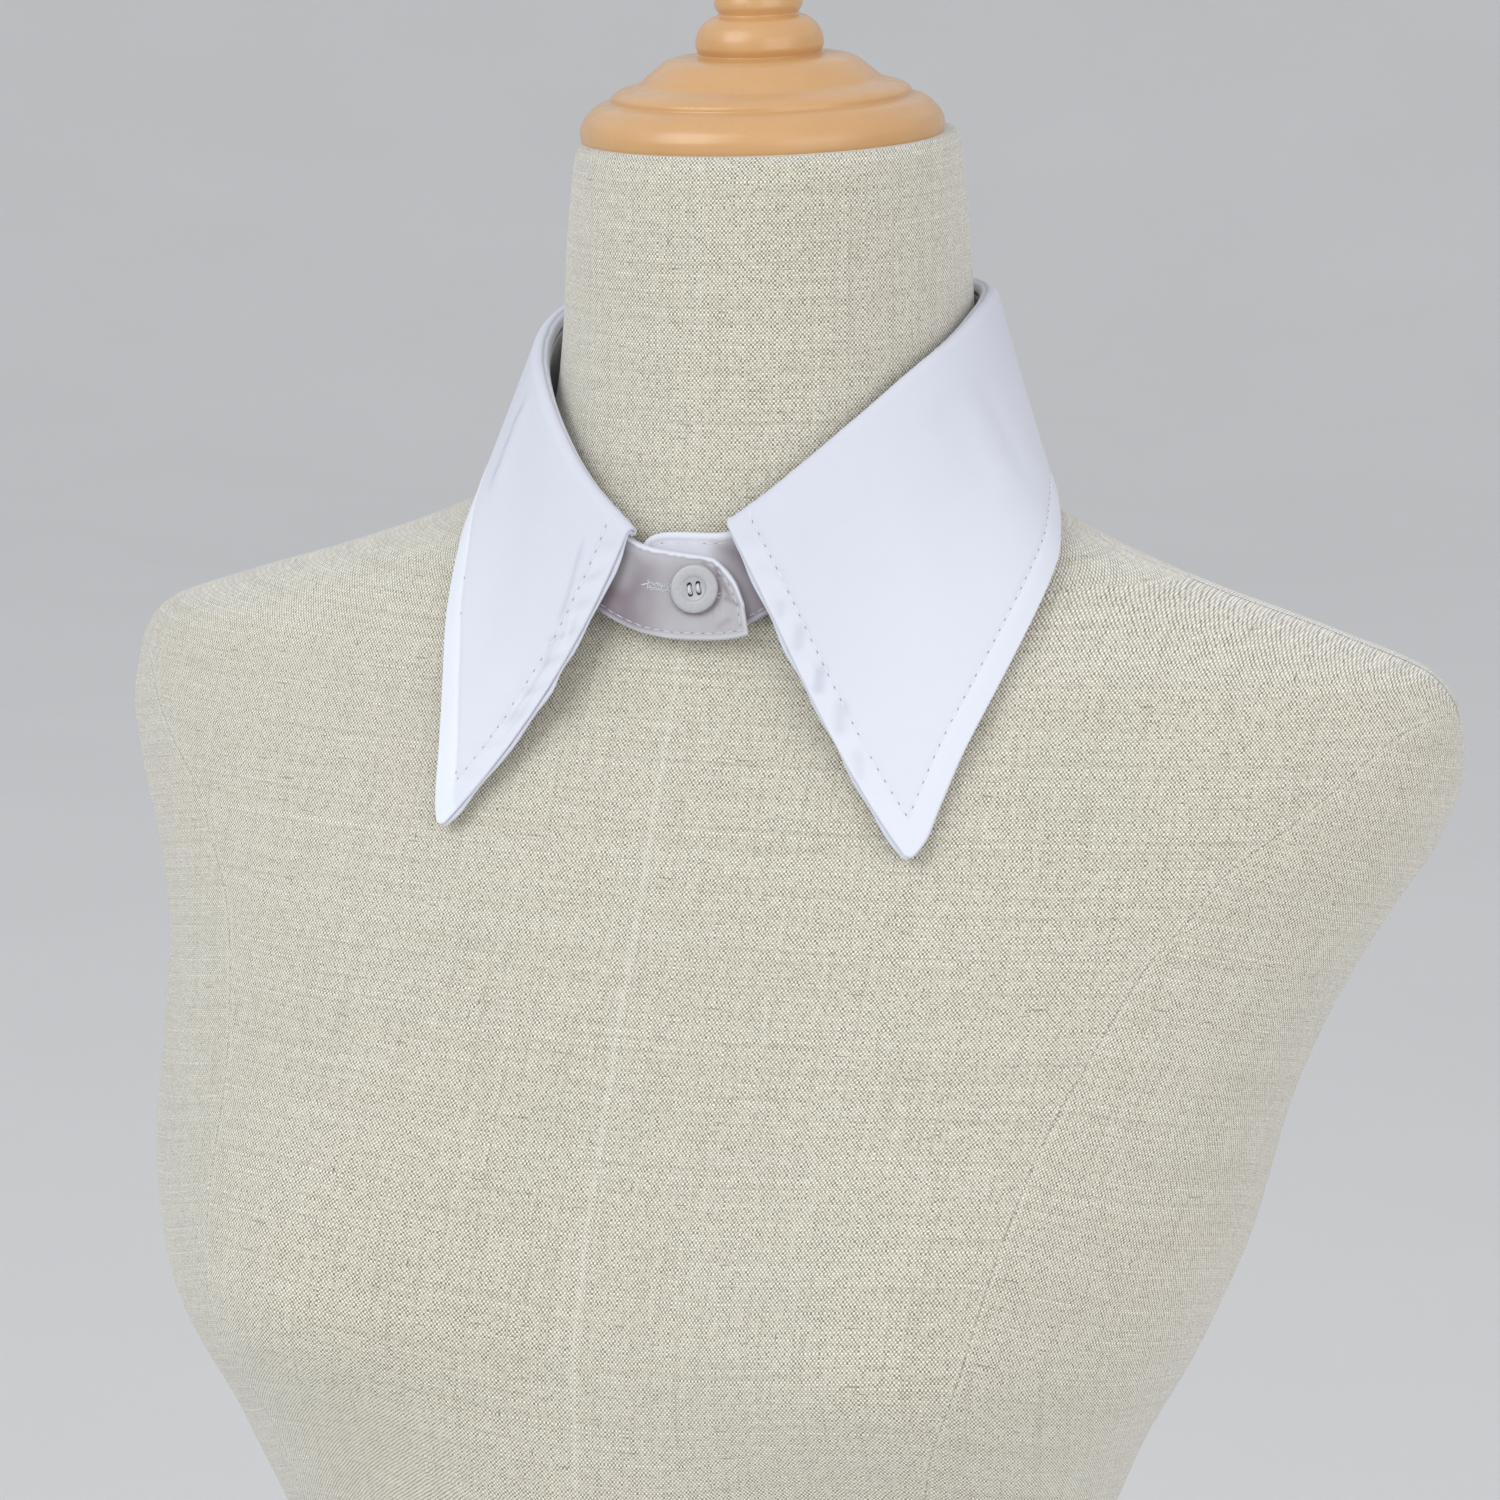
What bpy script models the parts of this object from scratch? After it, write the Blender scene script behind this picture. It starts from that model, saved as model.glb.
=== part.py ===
# A detachable pointed shirt collar, buttoned round the neck of a limbless linen dress form.
# Metres, +Z up, the front of the form faces -Y, the wearer's left is +X. Origin: bottom centre.
# Tables below are in millimetres, with height 0 at the ring where the collar folds at the side.
import bmesh
import bpy
import numpy as np
from mathutils import Vector
from mathutils.bvhtree import BVHTree

MM = 0.001
RING_AT = (0.0, 25.56, 600.0)   # the fold ring's centre, so that the whole stands over the origin
WALL = 1.0                 # cloth wall
PLY_GAP = 0.35             # air between two plies lying together
LAP_STEP = 3.3             # how far the overlapping end stands off the end beneath
SKIN_GAP = 0.6             # air between the cloth and the form
BUTTON_RADIUS = 6.25
BUTTON_THICK = 2.2
CAP_RADIUS = 48.3
NECK_TILT = (7.7, 2.3)     # degrees, the neck top leans forward and to the wearer's right
TORSO_SEGMENTS = 44
CAP_SEGMENTS = 36

# Sections of the dress form: height, half width, y where widest, front y, back y,
# roundness of the front half, roundness of the back half (2 is an ellipse).
FORM = [
    (-600, 160, -20, -140,  86, 2.40, 2.20),
    (-530, 166, -20, -138,  92, 2.40, 2.20),
    (-450, 144, -26, -128,  70, 2.40, 2.10),
    (-380, 112, -38, -119,  32, 2.30, 2.00),
    (-330, 108, -42, -123,  22, 2.30, 2.00),
    (-285, 121, -46, -132,  23, 2.50, 1.90),
    (-250, 138, -46, -134,  29, 2.60, 1.85),
    (-220, 149, -40, -127,  42, 2.60, 1.85),
    (-190, 155, -27, -115,  63, 2.50, 1.90),
    (-165, 163, -10, -104,  83, 2.30, 2.00),
    (-145, 173,   0,  -94,  92, 2.15, 2.10),
    (-125, 184,   6,  -85,  94, 2.00, 2.15),
    (-107, 189,   8,  -77,  91, 1.90, 2.10),
    (-94,  188,   8,  -70,  86, 1.78, 2.00),
    (-84,  182,   7,  -66,  82, 1.68, 1.85),
    (-74,  157,   6,  -62,  77, 1.62, 1.72),
    (-64,  125,   5,  -59,  72, 1.64, 1.70),
    (-54,   97,   5,  -56.5, 67, 1.75, 1.80),
    (-44,   76,   4,  -55,  63, 1.90, 1.95),
    (-34,   64,   4,  -54,  60, 2.00, 2.05),
    (-20,   57.5, 4,  -53,  58, 2.05, 2.10),
    (0,     54.8, 3,  -53,  56, 2.05, 2.10),
    (25,    53.2, 1,  -53.5, 54, 2.05, 2.10),
    (43,    51.5, 0,  -53.5, 51, 2.05, 2.10),
    (50,    50.0, 0,  -51.5, 49, 2.05, 2.10),
    (53,    48.0, 0,  -49,  47, 2.05, 2.10),
]
FORM_ROWS = [-600, -596, -575, -550, -525, -500, -475, -450, -425, -400, -380, -360, -340, -320,
             -300, -285, -270, -255, -240, -225, -210, -195, -180, -165, -150, -137, -125, -114,
             -105, -97, -90, -84, -79, -74, -69, -64, -59, -54, -49, -44, -39, -34, -27, -18,
             -5, 10, 27, 43, 50, 53]
BUST = dict(x=80.0, z=-238.0, wide=44.0, above=57.0, below=37.0, out=20.0)

# The band. Turn runs in degrees from the centre front over the wearer's left shoulder and
# round the back; 360 is the centre front again. Columns: turn at the upper edge, radius and
# height there, turn at the lower edge, radius and height there (inner face of the cloth).
BAND = [
    (-12.0, 60.8, -64.0, -14.0, 63.6, -74.6),
    (-9.6,  58.9, -55.5, -11.0, 63.2, -74.8),
    (-6.0,  57.7, -50.4,  -7.5, 62.9, -75.0),
    (-1.0,  57.5, -49.4,  -1.5, 62.8, -75.0),
    (5.0,   57.5, -49.3,   5.0, 62.9, -74.6),
    (11.0,  57.5, -48.6,  12.0, 63.2, -72.6),
    (19.0,  57.5, -42.8,  20.5, 63.8, -68.0),
    (30.0,  57.4, -33.0,  31.0, 64.6, -57.0),
    (45.0,  57.2, -20.6,  46.0, 62.6, -43.0),
    (60.0,  56.8, -10.0,  60.0, 61.4, -34.5),
    (76.0,  56.4,  -2.0,  76.0, 61.0, -29.0),
    (92.0,  56.2,   4.5,  92.0, 60.4, -25.0),
    (110.0, 56.6,   8.2, 110.0, 60.2, -22.0),
    (135.0, 57.2,   9.4, 135.0, 60.2, -20.5),
    (180.0, 57.8,   9.0, 180.0, 60.2, -20.0),
    (225.0, 57.9,   6.6, 225.0, 60.2, -20.5),
    (250.0, 57.9,   3.6, 250.0, 60.6, -22.5),
    (268.0, 57.8,  -1.2, 268.0, 61.0, -26.5),
    (284.0, 57.6,  -7.2, 284.0, 61.4, -31.0),
    (300.0, 57.5, -14.2, 300.0, 61.8, -37.0),
    (316.0, 57.4, -25.6, 315.0, 62.8, -46.5),
    (331.0, 57.4, -38.6, 330.0, 64.2, -59.5),
    (342.0, 57.5, -47.2, 341.0, 63.8, -69.0),
    (346.5, 57.8, -50.6, 346.5, 63.2, -72.0),
    (352.5, 58.0, -52.4, 353.0, 62.9, -74.2),
    (360.0, 58.2, -53.2, 360.5, 62.9, -75.0),
    (367.0, 58.4, -54.0, 368.0, 63.1, -74.8),
    (371.2, 59.4, -56.4, 372.2, 63.8, -74.4),
    (374.2, 60.7, -60.4, 375.2, 64.2, -73.8),
    (376.2, 62.2, -65.5, 377.7, 64.6, -73.0),
]
BAND_FALL = (11.0, 346.5)  # turns between which the fall grows out of the band
BAND_LAP = (285.0, 345.0)  # turns over which the band steps out to pass over its other end

# The fall. Columns: turn of the fold, then turn, radius and height of the outer edge it reaches.
FALL = [
    (11.0,   39.3, 108.8, -124.5),
    (15.0,   41.8, 107.9, -119.5),
    (20.0,   44.3, 106.2, -111.5),
    (28.0,   48.5, 103.8, -99.0),
    (38.0,   55.0, 101.3, -84.0),
    (50.0,   64.0,  98.0, -67.0),
    (63.0,   73.0,  93.6, -55.0),
    (77.0,   83.5,  86.0, -46.8),
    (92.0,   95.0,  80.2, -42.2),
    (110.0, 110.5,  77.2, -41.6),
    (135.0, 135.0,  73.0, -42.0),
    (180.0, 180.0,  69.5, -42.0),
    (225.0, 225.0,  71.8, -40.6),
    (255.0, 255.5,  75.2, -38.8),
    (275.0, 275.5,  76.2, -40.4),
    (290.0, 289.5,  77.2, -44.8),
    (304.0, 300.5,  82.3, -56.0),
    (316.0, 308.5,  88.4, -74.0),
    (326.0, 315.5,  93.2, -91.0),
    (335.0, 320.5,  98.0, -105.5),
    (341.5, 323.6, 102.0, -118.5),
    (346.5, 326.2, 104.3, -125.3),
]
FALL_TURNS = [11, 15, 20, 26, 32, 38, 44, 50, 57, 64, 71, 78, 85, 92, 100, 108, 117, 127, 138, 149,
              160, 170, 180, 190, 200, 211, 222, 233, 243, 252, 260, 268, 275, 282, 289, 296, 303,
              309.5, 316, 321, 326, 330.5, 335, 338.5, 342, 346.5]
FALL_STEPS = [0.05, 0.13, 0.25, 0.39, 0.55, 0.71, 0.86, 1.0]
ROLL_OUTER = 2.65          # radius of the outer ply where it rolls over the fold
ROLL_LIFT = 1.0            # the fall starts this far above the band
BOW_LEFT, BOW_RIGHT = 2.2, 4.9   # how much each front edge bows towards the centre front


def curve(table, column, x):
    """Smooth monotone curve through one column of a table, read against column 0."""
    xs = np.array([row[0] for row in table], float)
    ys = np.array([row[column] for row in table], float)
    h, x = np.diff(xs), np.atleast_1d(np.asarray(x, float))
    d = np.diff(ys) / h
    m = np.zeros_like(ys)
    for i in range(1, len(xs) - 1):
        if d[i - 1] * d[i] > 0:
            w1, w2 = 2 * h[i] + h[i - 1], h[i] + 2 * h[i - 1]
            m[i] = (w1 + w2) / (w1 / d[i - 1] + w2 / d[i])
    m[0], m[-1] = d[0], d[-1]
    i = np.clip(np.searchsorted(xs, x) - 1, 0, len(xs) - 2)
    t = (x - xs[i]) / h[i]
    return ((1 + 2 * t) * (1 - t) ** 2 * ys[i] + t * (1 - t) ** 2 * h[i] * m[i]
            + t * t * (3 - 2 * t) * ys[i + 1] + t * t * (t - 1) * h[i] * m[i + 1])


def ease(t):
    t = np.clip(t, 0.0, 1.0)
    return t * t * (3 - 2 * t)


def polar(turn, radius, height):
    a = np.radians(turn)
    return np.stack([radius * np.sin(a), -radius * np.cos(a), height + 0 * a], -1)


def unit(v):
    return v / np.linalg.norm(v, axis=-1, keepdims=True)


def tip_with_neck(points, share=1.0):
    """Slope points with the plane of the neck top: lower at the front, higher at the left."""
    out = points.copy()
    fore, side = np.tan(np.radians(NECK_TILT))
    out[:, 2] += share * (fore * points[:, 1] + side * points[:, 0])
    return out


def form_ring(z, n):
    """One horizontal section of the dress form, n points, in millimetres."""
    w, mid, front, back, nf, nb = [curve(FORM, k, z)[0] for k in range(1, 7)]
    a = np.linspace(-np.pi, np.pi, n, endpoint=False)
    s, c = np.sin(a), np.cos(a)
    power = np.where(c > 0, nf, nb)
    deep = np.where(c > 0, mid - front, back - mid)
    x = w * np.sign(s) * np.abs(s) ** (2 / power)
    y = mid - np.sign(c) * deep * np.abs(c) ** (2 / power)
    tall = BUST["below"] if z < BUST["z"] else BUST["above"]
    bump = BUST["out"] * np.exp(-((np.abs(x) - BUST["x"]) / BUST["wide"]) ** 2
                                - ((z - BUST["z"]) / tall) ** 2) * np.sqrt(np.clip(c, 0, 1))
    ring = np.stack([x * (1 + 0.25 * bump / BUST["x"]), y - bump, np.full(n, float(z))], -1)
    return tip_with_neck(ring, ease(z / 50.0))


def material(name, colour, rough):
    m = bpy.data.materials.new(name)
    m.use_nodes = True
    p = m.node_tree.nodes["Principled BSDF"]
    p.inputs["Base Color"].default_value = (*colour, 1)
    p.inputs["Roughness"].default_value = rough
    return m


def add(name, verts, faces, mat):
    """Make one closed body; points arrive in table millimetres."""
    pts = (np.asarray(verts, float) + RING_AT) * MM
    mesh = bpy.data.meshes.new(name)
    mesh.from_pydata([tuple(p) for p in pts], [], faces)
    bm = bmesh.new()
    bm.from_mesh(mesh)
    bmesh.ops.recalc_face_normals(bm, faces=bm.faces)
    bm.to_mesh(mesh)
    bm.free()
    mesh.materials.append(mat)
    mesh.polygons.foreach_set("use_smooth", [True] * len(mesh.polygons))
    ob = bpy.data.objects.new(name, mesh)
    bpy.context.scene.collection.objects.link(ob)
    return ob


def loft(rings):
    """Faces of a closed tube of rings, with a flat cap at each end."""
    n, k = len(rings[0]), len(rings)
    faces = [tuple(reversed(range(n))), tuple((k - 1) * n + j for j in range(n))]
    for i in range(k - 1):
        for j in range(n):
            a, b = i * n + j, i * n + (j + 1) % n
            faces.append((a, b, b + n, a + n))
    return np.concatenate(rings), faces


def normals(grid):
    """Unit normals of a grid whose rows run down its outer face."""
    return unit(np.cross(np.gradient(grid, axis=1), np.gradient(grid, axis=0)))


def wall(inner, outer):
    """Closed cloth wall between two matching grids."""
    nu, nv = inner.shape[:2]
    verts = np.concatenate([inner.reshape(-1, 3), outer.reshape(-1, 3)])
    o = nu * nv
    faces = []
    for i in range(nu - 1):
        for j in range(nv - 1):
            a, b, c, d = i * nv + j, (i + 1) * nv + j, (i + 1) * nv + j + 1, i * nv + j + 1
            faces += [(a, b, c), (a, c, d), (o + c, o + b, o + a), (o + d, o + c, o + a)]
    rim = [i * nv for i in range(nu)] + [(nu - 1) * nv + j for j in range(1, nv)]
    rim += [i * nv + nv - 1 for i in range(nu - 2, -1, -1)] + [j for j in range(nv - 2, 0, -1)]
    for a, b in zip(rim, rim[1:] + rim[:1]):
        faces.append((b, a, o + a, o + b))
    return verts, faces


def clear_of(tree, grid, gap):
    """Move a grid out along the form's surface, smoothly, until it stands gap clear of it."""
    out = grid.copy()
    for again in range(4):
        push = np.zeros_like(out)
        for i in range(out.shape[0]):
            for j in range(out.shape[1]):
                near, normal, _, _ = tree.find_nearest(Vector(out[i, j]))
                away = (Vector(out[i, j]) - near).dot(normal)
                if away < gap:
                    push[i, j] = np.array(normal) * (gap - away)
        if again < 3:
            for axis in (0, 1):
                size = np.linalg.norm(push, axis=-1, keepdims=True)
                ends = [np.roll(push, k, axis) for k in (1, -1)]
                if axis == 0:
                    ends[0][0], ends[1][-1] = push[0], push[-1]
                else:
                    ends[0][:, 0], ends[1][:, -1] = push[:, 0], push[:, -1]
                soft = (ends[0] + 2 * push + ends[1]) / 4
                push = np.where(np.linalg.norm(soft, axis=-1, keepdims=True) > size, soft, push)
        out += push
    return out


def lap(turn):
    return LAP_STEP * ease((turn - BAND_LAP[0]) / (BAND_LAP[1] - BAND_LAP[0]))


def band_top(turn):
    """Upper edge of the band's inner face at given turns."""
    return polar(turn, curve(BAND, 1, turn) + lap(turn), curve(BAND, 2, turn))


def band_grid(rows):
    """Inner face of the band and its outward normals, on the same turns as the fall."""
    turns = [r[0] for r in BAND if not BAND_FALL[0] <= r[0] <= BAND_FALL[1]] + FALL_TURNS
    turns = np.sort(np.array(turns, float))
    top = band_top(turns)
    low_turn, low_r, low_z = [curve(BAND, k, turns) for k in (3, 4, 5)]
    foot = polar(low_turn, low_r + lap(turns), low_z)
    v = np.linspace(0, 1, rows)[None, :, None]
    grid = foot[:, None] * (1 - v) + top[:, None] * v
    rise = top[:, 2] - foot[:, 2]
    lean = (low_r - curve(BAND, 1, turns)) / np.maximum(rise, 1.0)
    lean = np.minimum(lean, 0.28)
    out = np.repeat(polar(turns, 1.0, 0.0)[:, None], rows, 1)
    out[..., 2] = lean[:, None] * (1 - v[..., 0])
    return grid, unit(out)


def fall_grid(tree):
    """Outer face of the fall, from its root inside the fold, over the roll and down."""
    turns = np.array(FALL_TURNS, float)
    top = band_top(turns)
    along = unit(band_top(turns + 0.5) - band_top(turns - 0.5))
    radial = polar(turns, 1.0, 0.0)
    out = unit(radial - (radial * along).sum(1, keepdims=True) * along)
    up = np.cross(along, out)
    up *= np.sign(up[:, 2:3])
    middle = top + out * ROLL_OUTER + up * ROLL_LIFT
    edge = polar(*[curve(FALL, k, turns) for k in (1, 2, 3)])
    columns = []
    for i in range(len(turns)):
        reach = edge[i] - middle[i]
        o, u = reach @ out[i], reach @ up[i]
        last = np.arctan2(o, u)
        last += np.arcsin(min(ROLL_OUTER / np.hypot(o, u), 1.0))
        last = min(last, np.radians(178))
        roll = [middle[i] + ROLL_OUTER * (-np.cos(t) * out[i] + np.sin(t) * up[i])
                for t in np.linspace(0, last, 6)]
        start = roll[-1]
        share = (turns[i] - turns[0]) / (turns[-1] - turns[0])
        bow = -BOW_LEFT * (1 - ease(share / 0.12)) + BOW_RIGHT * (1 - ease((1 - share) / 0.12))
        line = [start + (edge[i] - start) * s + along[i] * bow * 4 * s * (1 - s)
                for s in FALL_STEPS]
        columns.append(roll + line)
    grid = np.array(columns)
    plies = 2 * WALL + PLY_GAP + SKIN_GAP + 0.3
    grid[:, 5:] = clear_of(tree, grid[:, 5:], plies)
    return grid


def button(centre, facing, mat):
    """Flat shirt button with a raised rim and a dished middle."""
    profile = [(0, 0), (4.6, 0.0), (5.8, 0.4), (6.25, 1.2), (6.0, 1.9), (5.4, 2.2), (4.2, 2.15),
               (3.4, 1.75), (2.6, 1.45), (0, 1.35)]
    z = unit(facing)
    x = unit(np.cross((0, 0, 1), z))
    y = np.cross(z, x)
    n = 28
    a = np.linspace(0, 2 * np.pi, n, endpoint=False)
    rings = []
    for r, h in profile[1:-1]:
        r *= BUTTON_RADIUS / 6.25
        h *= BUTTON_THICK / 2.2
        rings.append(centre + z * h + r * (np.cos(a)[:, None] * x + np.sin(a)[:, None] * y))
    return add("button", *loft(rings), mat)


def neck_cap(mat):
    """Turned wooden neck cap with a stepped moulding and a finial knob."""
    profile = [(46.0, 0.0), (48.0, 0.7), (48.3, 2.0), (47.6, 4.4), (45.9, 6.6), (43.2, 8.8),
               (40.2, 9.9), (39.9, 10.9), (38.4, 12.0), (35.7, 12.9), (32.5, 13.8), (29.9, 16.0),
               (27.2, 18.2), (25.0, 19.6), (22.2, 20.4), (16.2, 21.2), (17.0, 23.4), (16.8, 25.2),
               (15.6, 28.0), (13.3, 30.2), (10.6, 31.6), (10.9, 32.2), (11.7, 34.0), (11.2, 36.4),
               (9.2, 38.8), (5.6, 40.6), (2.0, 41.2)]
    a = np.linspace(0, 2 * np.pi, CAP_SEGMENTS, endpoint=False)
    axis = unit(np.array([-np.tan(np.radians(NECK_TILT[1])), -np.tan(np.radians(NECK_TILT[0])), 1.0]))
    rings = []
    for r, h in profile:
        r *= CAP_RADIUS / 48.3
        foot = np.stack([r * np.sin(a), -r * np.cos(a), np.full(CAP_SEGMENTS, 53.5)], -1)
        rings.append(tip_with_neck(foot) + axis * h)
    return add("neck_cap", *loft(rings), mat)


def build():
    for ob in list(bpy.data.objects):
        bpy.data.objects.remove(ob, do_unlink=True)
    linen = material("linen_cover", (0.62, 0.56, 0.46), 0.9)
    poplin = material("white_poplin", (0.86, 0.86, 0.92), 0.75)
    wood = material("turned_wood", (0.72, 0.43, 0.20), 0.35)
    shell = material("button_shell", (0.86, 0.85, 0.88), 0.3)

    rings = [form_ring(z, TORSO_SEGMENTS) for z in FORM_ROWS]
    verts, faces = loft(rings)
    add("form_torso", verts, faces, linen)
    fine = loft([form_ring(z, 160) for z in np.linspace(-200, 53, 127)])
    tree = BVHTree.FromPolygons([Vector(v) for v in fine[0]], fine[1])
    neck_cap(wood)

    inner, n = band_grid(4)
    inner = clear_of(tree, inner, SKIN_GAP)
    plies = [0.0, WALL, WALL + PLY_GAP, 2 * WALL + PLY_GAP]
    add("band_inner", *wall(inner + n * plies[0], inner + n * plies[1]), poplin)
    add("band_outer", *wall(inner + n * plies[2], inner + n * plies[3]), poplin)

    outer = fall_grid(tree)
    n = normals(outer)
    add("upper_collar", *wall(outer - n * plies[1], outer - n * plies[0]), poplin)
    add("under_collar", *wall(outer - n * plies[3], outer - n * plies[2]), poplin)

    at = polar(364.2, 62.8 + LAP_STEP, -61.8)
    slope = unit(polar(364.2, 25.0, 5.0))
    button(at, slope, shell)


build()
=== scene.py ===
# %% [markdown]
# # A white shirt collar, buttoned round the neck of a linen dress form
#
# The real object is a collar that comes without its shirt: a band round the neck that closes
# with one button, and a fall with two long points that folds down over it. It sits on a dress
# form without limbs, a padded shape covered in unbleached linen, with a turned wooden cap on
# its neck. Everything here is worked out in millimetres from tables, with height 0 at the ring
# where the collar folds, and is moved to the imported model's place in metres at the very end.

import bpy
import numpy as np
from mathutils import Matrix


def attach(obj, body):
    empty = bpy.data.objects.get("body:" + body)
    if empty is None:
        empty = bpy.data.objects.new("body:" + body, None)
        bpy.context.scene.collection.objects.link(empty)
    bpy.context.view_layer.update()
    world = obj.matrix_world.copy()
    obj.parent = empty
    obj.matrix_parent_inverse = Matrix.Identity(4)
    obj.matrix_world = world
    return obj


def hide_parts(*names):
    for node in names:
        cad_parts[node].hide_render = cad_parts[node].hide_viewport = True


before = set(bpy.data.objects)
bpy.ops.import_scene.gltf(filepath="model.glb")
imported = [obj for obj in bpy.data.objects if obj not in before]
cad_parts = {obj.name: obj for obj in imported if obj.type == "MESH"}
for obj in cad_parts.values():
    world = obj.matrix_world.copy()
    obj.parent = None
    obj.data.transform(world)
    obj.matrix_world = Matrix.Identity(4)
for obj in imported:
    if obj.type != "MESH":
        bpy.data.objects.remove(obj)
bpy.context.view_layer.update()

MM = 0.001
FOLD_RING = np.array([0.0, 25.56, 600.0])   # where the tables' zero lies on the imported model
print("solids in the frame:", sorted(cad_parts))

# %% [markdown]
# ## The camera and the room
#
# The camera comes first, because every later choice is judged through it. It stands a little
# above the collar and to the wearer's left, at arm's length, and its three directions are
# written as the columns of its matrix. The room is only a pale floor, wide enough to reach the
# horizon, with soft lamps: one could build walls, but they would only add shadows.

# %% The camera
camera_data = bpy.data.cameras.new("camera")
camera_data.lens, camera_data.sensor_width = 108.0, 36.0
camera_data.clip_end = 200.0
camera = bpy.data.objects.new("camera", camera_data)
bpy.context.scene.collection.objects.link(camera)
right, up = (0.941898, 0.335683, 0.012049), (-0.066606, 0.151491, 0.986212)
back = (0.329229, -0.929714, 0.165048)
place = (0.398408, -1.108581, 0.687285)


def standing(x, y, z, at):
    """A matrix from its three directions and its place."""
    return Matrix([[x[k], y[k], z[k], at[k]] for k in range(3)] + [[0, 0, 0, 1]])


camera.matrix_world = standing(right, up, back, place)
bpy.context.scene.camera = camera
bpy.context.scene.view_settings.view_transform = "Standard"   # keeps the whites of the cloth white
print("camera at", place)


# %% Nodes of a material, written as short formulas
bench = {}   # holds the node tree that is being built


class Wire:
    """A number that a node gives. Wires are added, multiplied and so on like numbers."""

    def __init__(self, socket):
        self.socket = socket

    def __add__(self, other):
        return calc("ADD", self, other)

    def __sub__(self, other):
        return calc("SUBTRACT", self, other)

    def __rsub__(self, other):
        return calc("SUBTRACT", other, self)

    def __mul__(self, other):
        return calc("MULTIPLY", self, other)

    def __truediv__(self, other):
        return calc("DIVIDE", self, other)

    def __abs__(self):
        return calc("ABSOLUTE", self)


def put(kind, settings=None, sockets=None):
    """Add one shader node. A socket's value is a number, a colour, a wire or a node's output."""
    node = bench["tree"].nodes.new("ShaderNode" + kind)
    for name, value in (settings or {}).items():
        setattr(node, name, value)
    for name, value in (sockets or {}).items():
        lead(value, node.inputs[name])
    return node


def lead(value, end):
    """Give a socket a value, or link it to a wire or a node's output."""
    value = getattr(value, "socket", value)
    if isinstance(value, bpy.types.NodeSocket):
        bench["tree"].links.new(value, end)
    elif value is not None:
        end.default_value = value


def calc(operation, a, b=None):
    """One step of arithmetic on numbers or wires."""
    return Wire(put("Math", {"operation": operation}, {0: a, 1: b}).outputs[0])


def split(kind, socket):
    """The numbers that a vector or a colour is made of."""
    return [Wire(part) for part in put(kind, None, {0: socket}).outputs]


def fade(value, low, high, start=0.0, end=1.0):
    """A smooth step: start below low, end above high."""
    return Wire(put("MapRange", {"interpolation_type": "SMOOTHSTEP"},
                    {0: value, 1: low, 2: high, 3: start, 4: end}).outputs[0])


def tint(share, a, b):
    """Mix colour b into colour a by a share from 0 to 1."""
    a, b = [(*v, 1.0) if isinstance(v, tuple) else v for v in (a, b)]
    return put("Mix", {"data_type": "RGBA"}, {0: share, 6: a, 7: b}).outputs[2]


def noise(coords, scale, detail=2.0, rough=0.5, stretch=None):
    """Cloudy noise from 0 to 1. Stretch scales the three directions on their own."""
    if stretch:
        coords = put("Mapping", None, {"Vector": coords, "Scale": stretch}).outputs[0]
    return Wire(put("TexNoise", None, {"Vector": coords, "Scale": scale, "Detail": detail,
                                       "Roughness": rough}).outputs["Fac"])


def mark(label):
    """A number that each point of the mesh carries under a name."""
    return Wire(put("Attribute", {"attribute_name": label}).outputs["Fac"])


def finish(name, roughness, **constants):
    """A new material, with constants for its shader: its node tree goes on the bench."""
    made = bpy.data.materials.new(name)
    made.use_nodes = True
    bench["tree"] = made.node_tree
    shader = made.node_tree.nodes["Principled BSDF"]
    shader.inputs["Roughness"].default_value = roughness
    for label, value in constants.items():
        shader.inputs[label.replace("_", " ")].default_value = value
    return made, shader


def connect(shader, colour, height=None, depth=0.0001, roughness=None):
    """Lead a colour, a height for bump and a roughness to the shader."""
    lead(colour, shader.inputs["Base Color"])
    lead(roughness, shader.inputs["Roughness"])
    if height is not None:
        bump = put("Bump", None, {"Strength": 1.0, "Distance": depth, "Height": height})
        lead(bump.outputs[0], shader.inputs["Normal"])


def mottled(name, roughness, cloud, dark, light, bumps=None, depth=0.0, gloss=None, **constants):
    """A finish between two shades, mixed by noise, with finer noise for bumps and gloss."""
    made, shader = finish(name, roughness, **constants)
    where = put("TexCoord").outputs["Object"]
    connect(shader, tint(noise(where, *cloud), dark, light), bumps and noise(where, bumps), depth,
            gloss and fade(noise(where, gloss[0]), *gloss[1:]))
    return made


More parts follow.
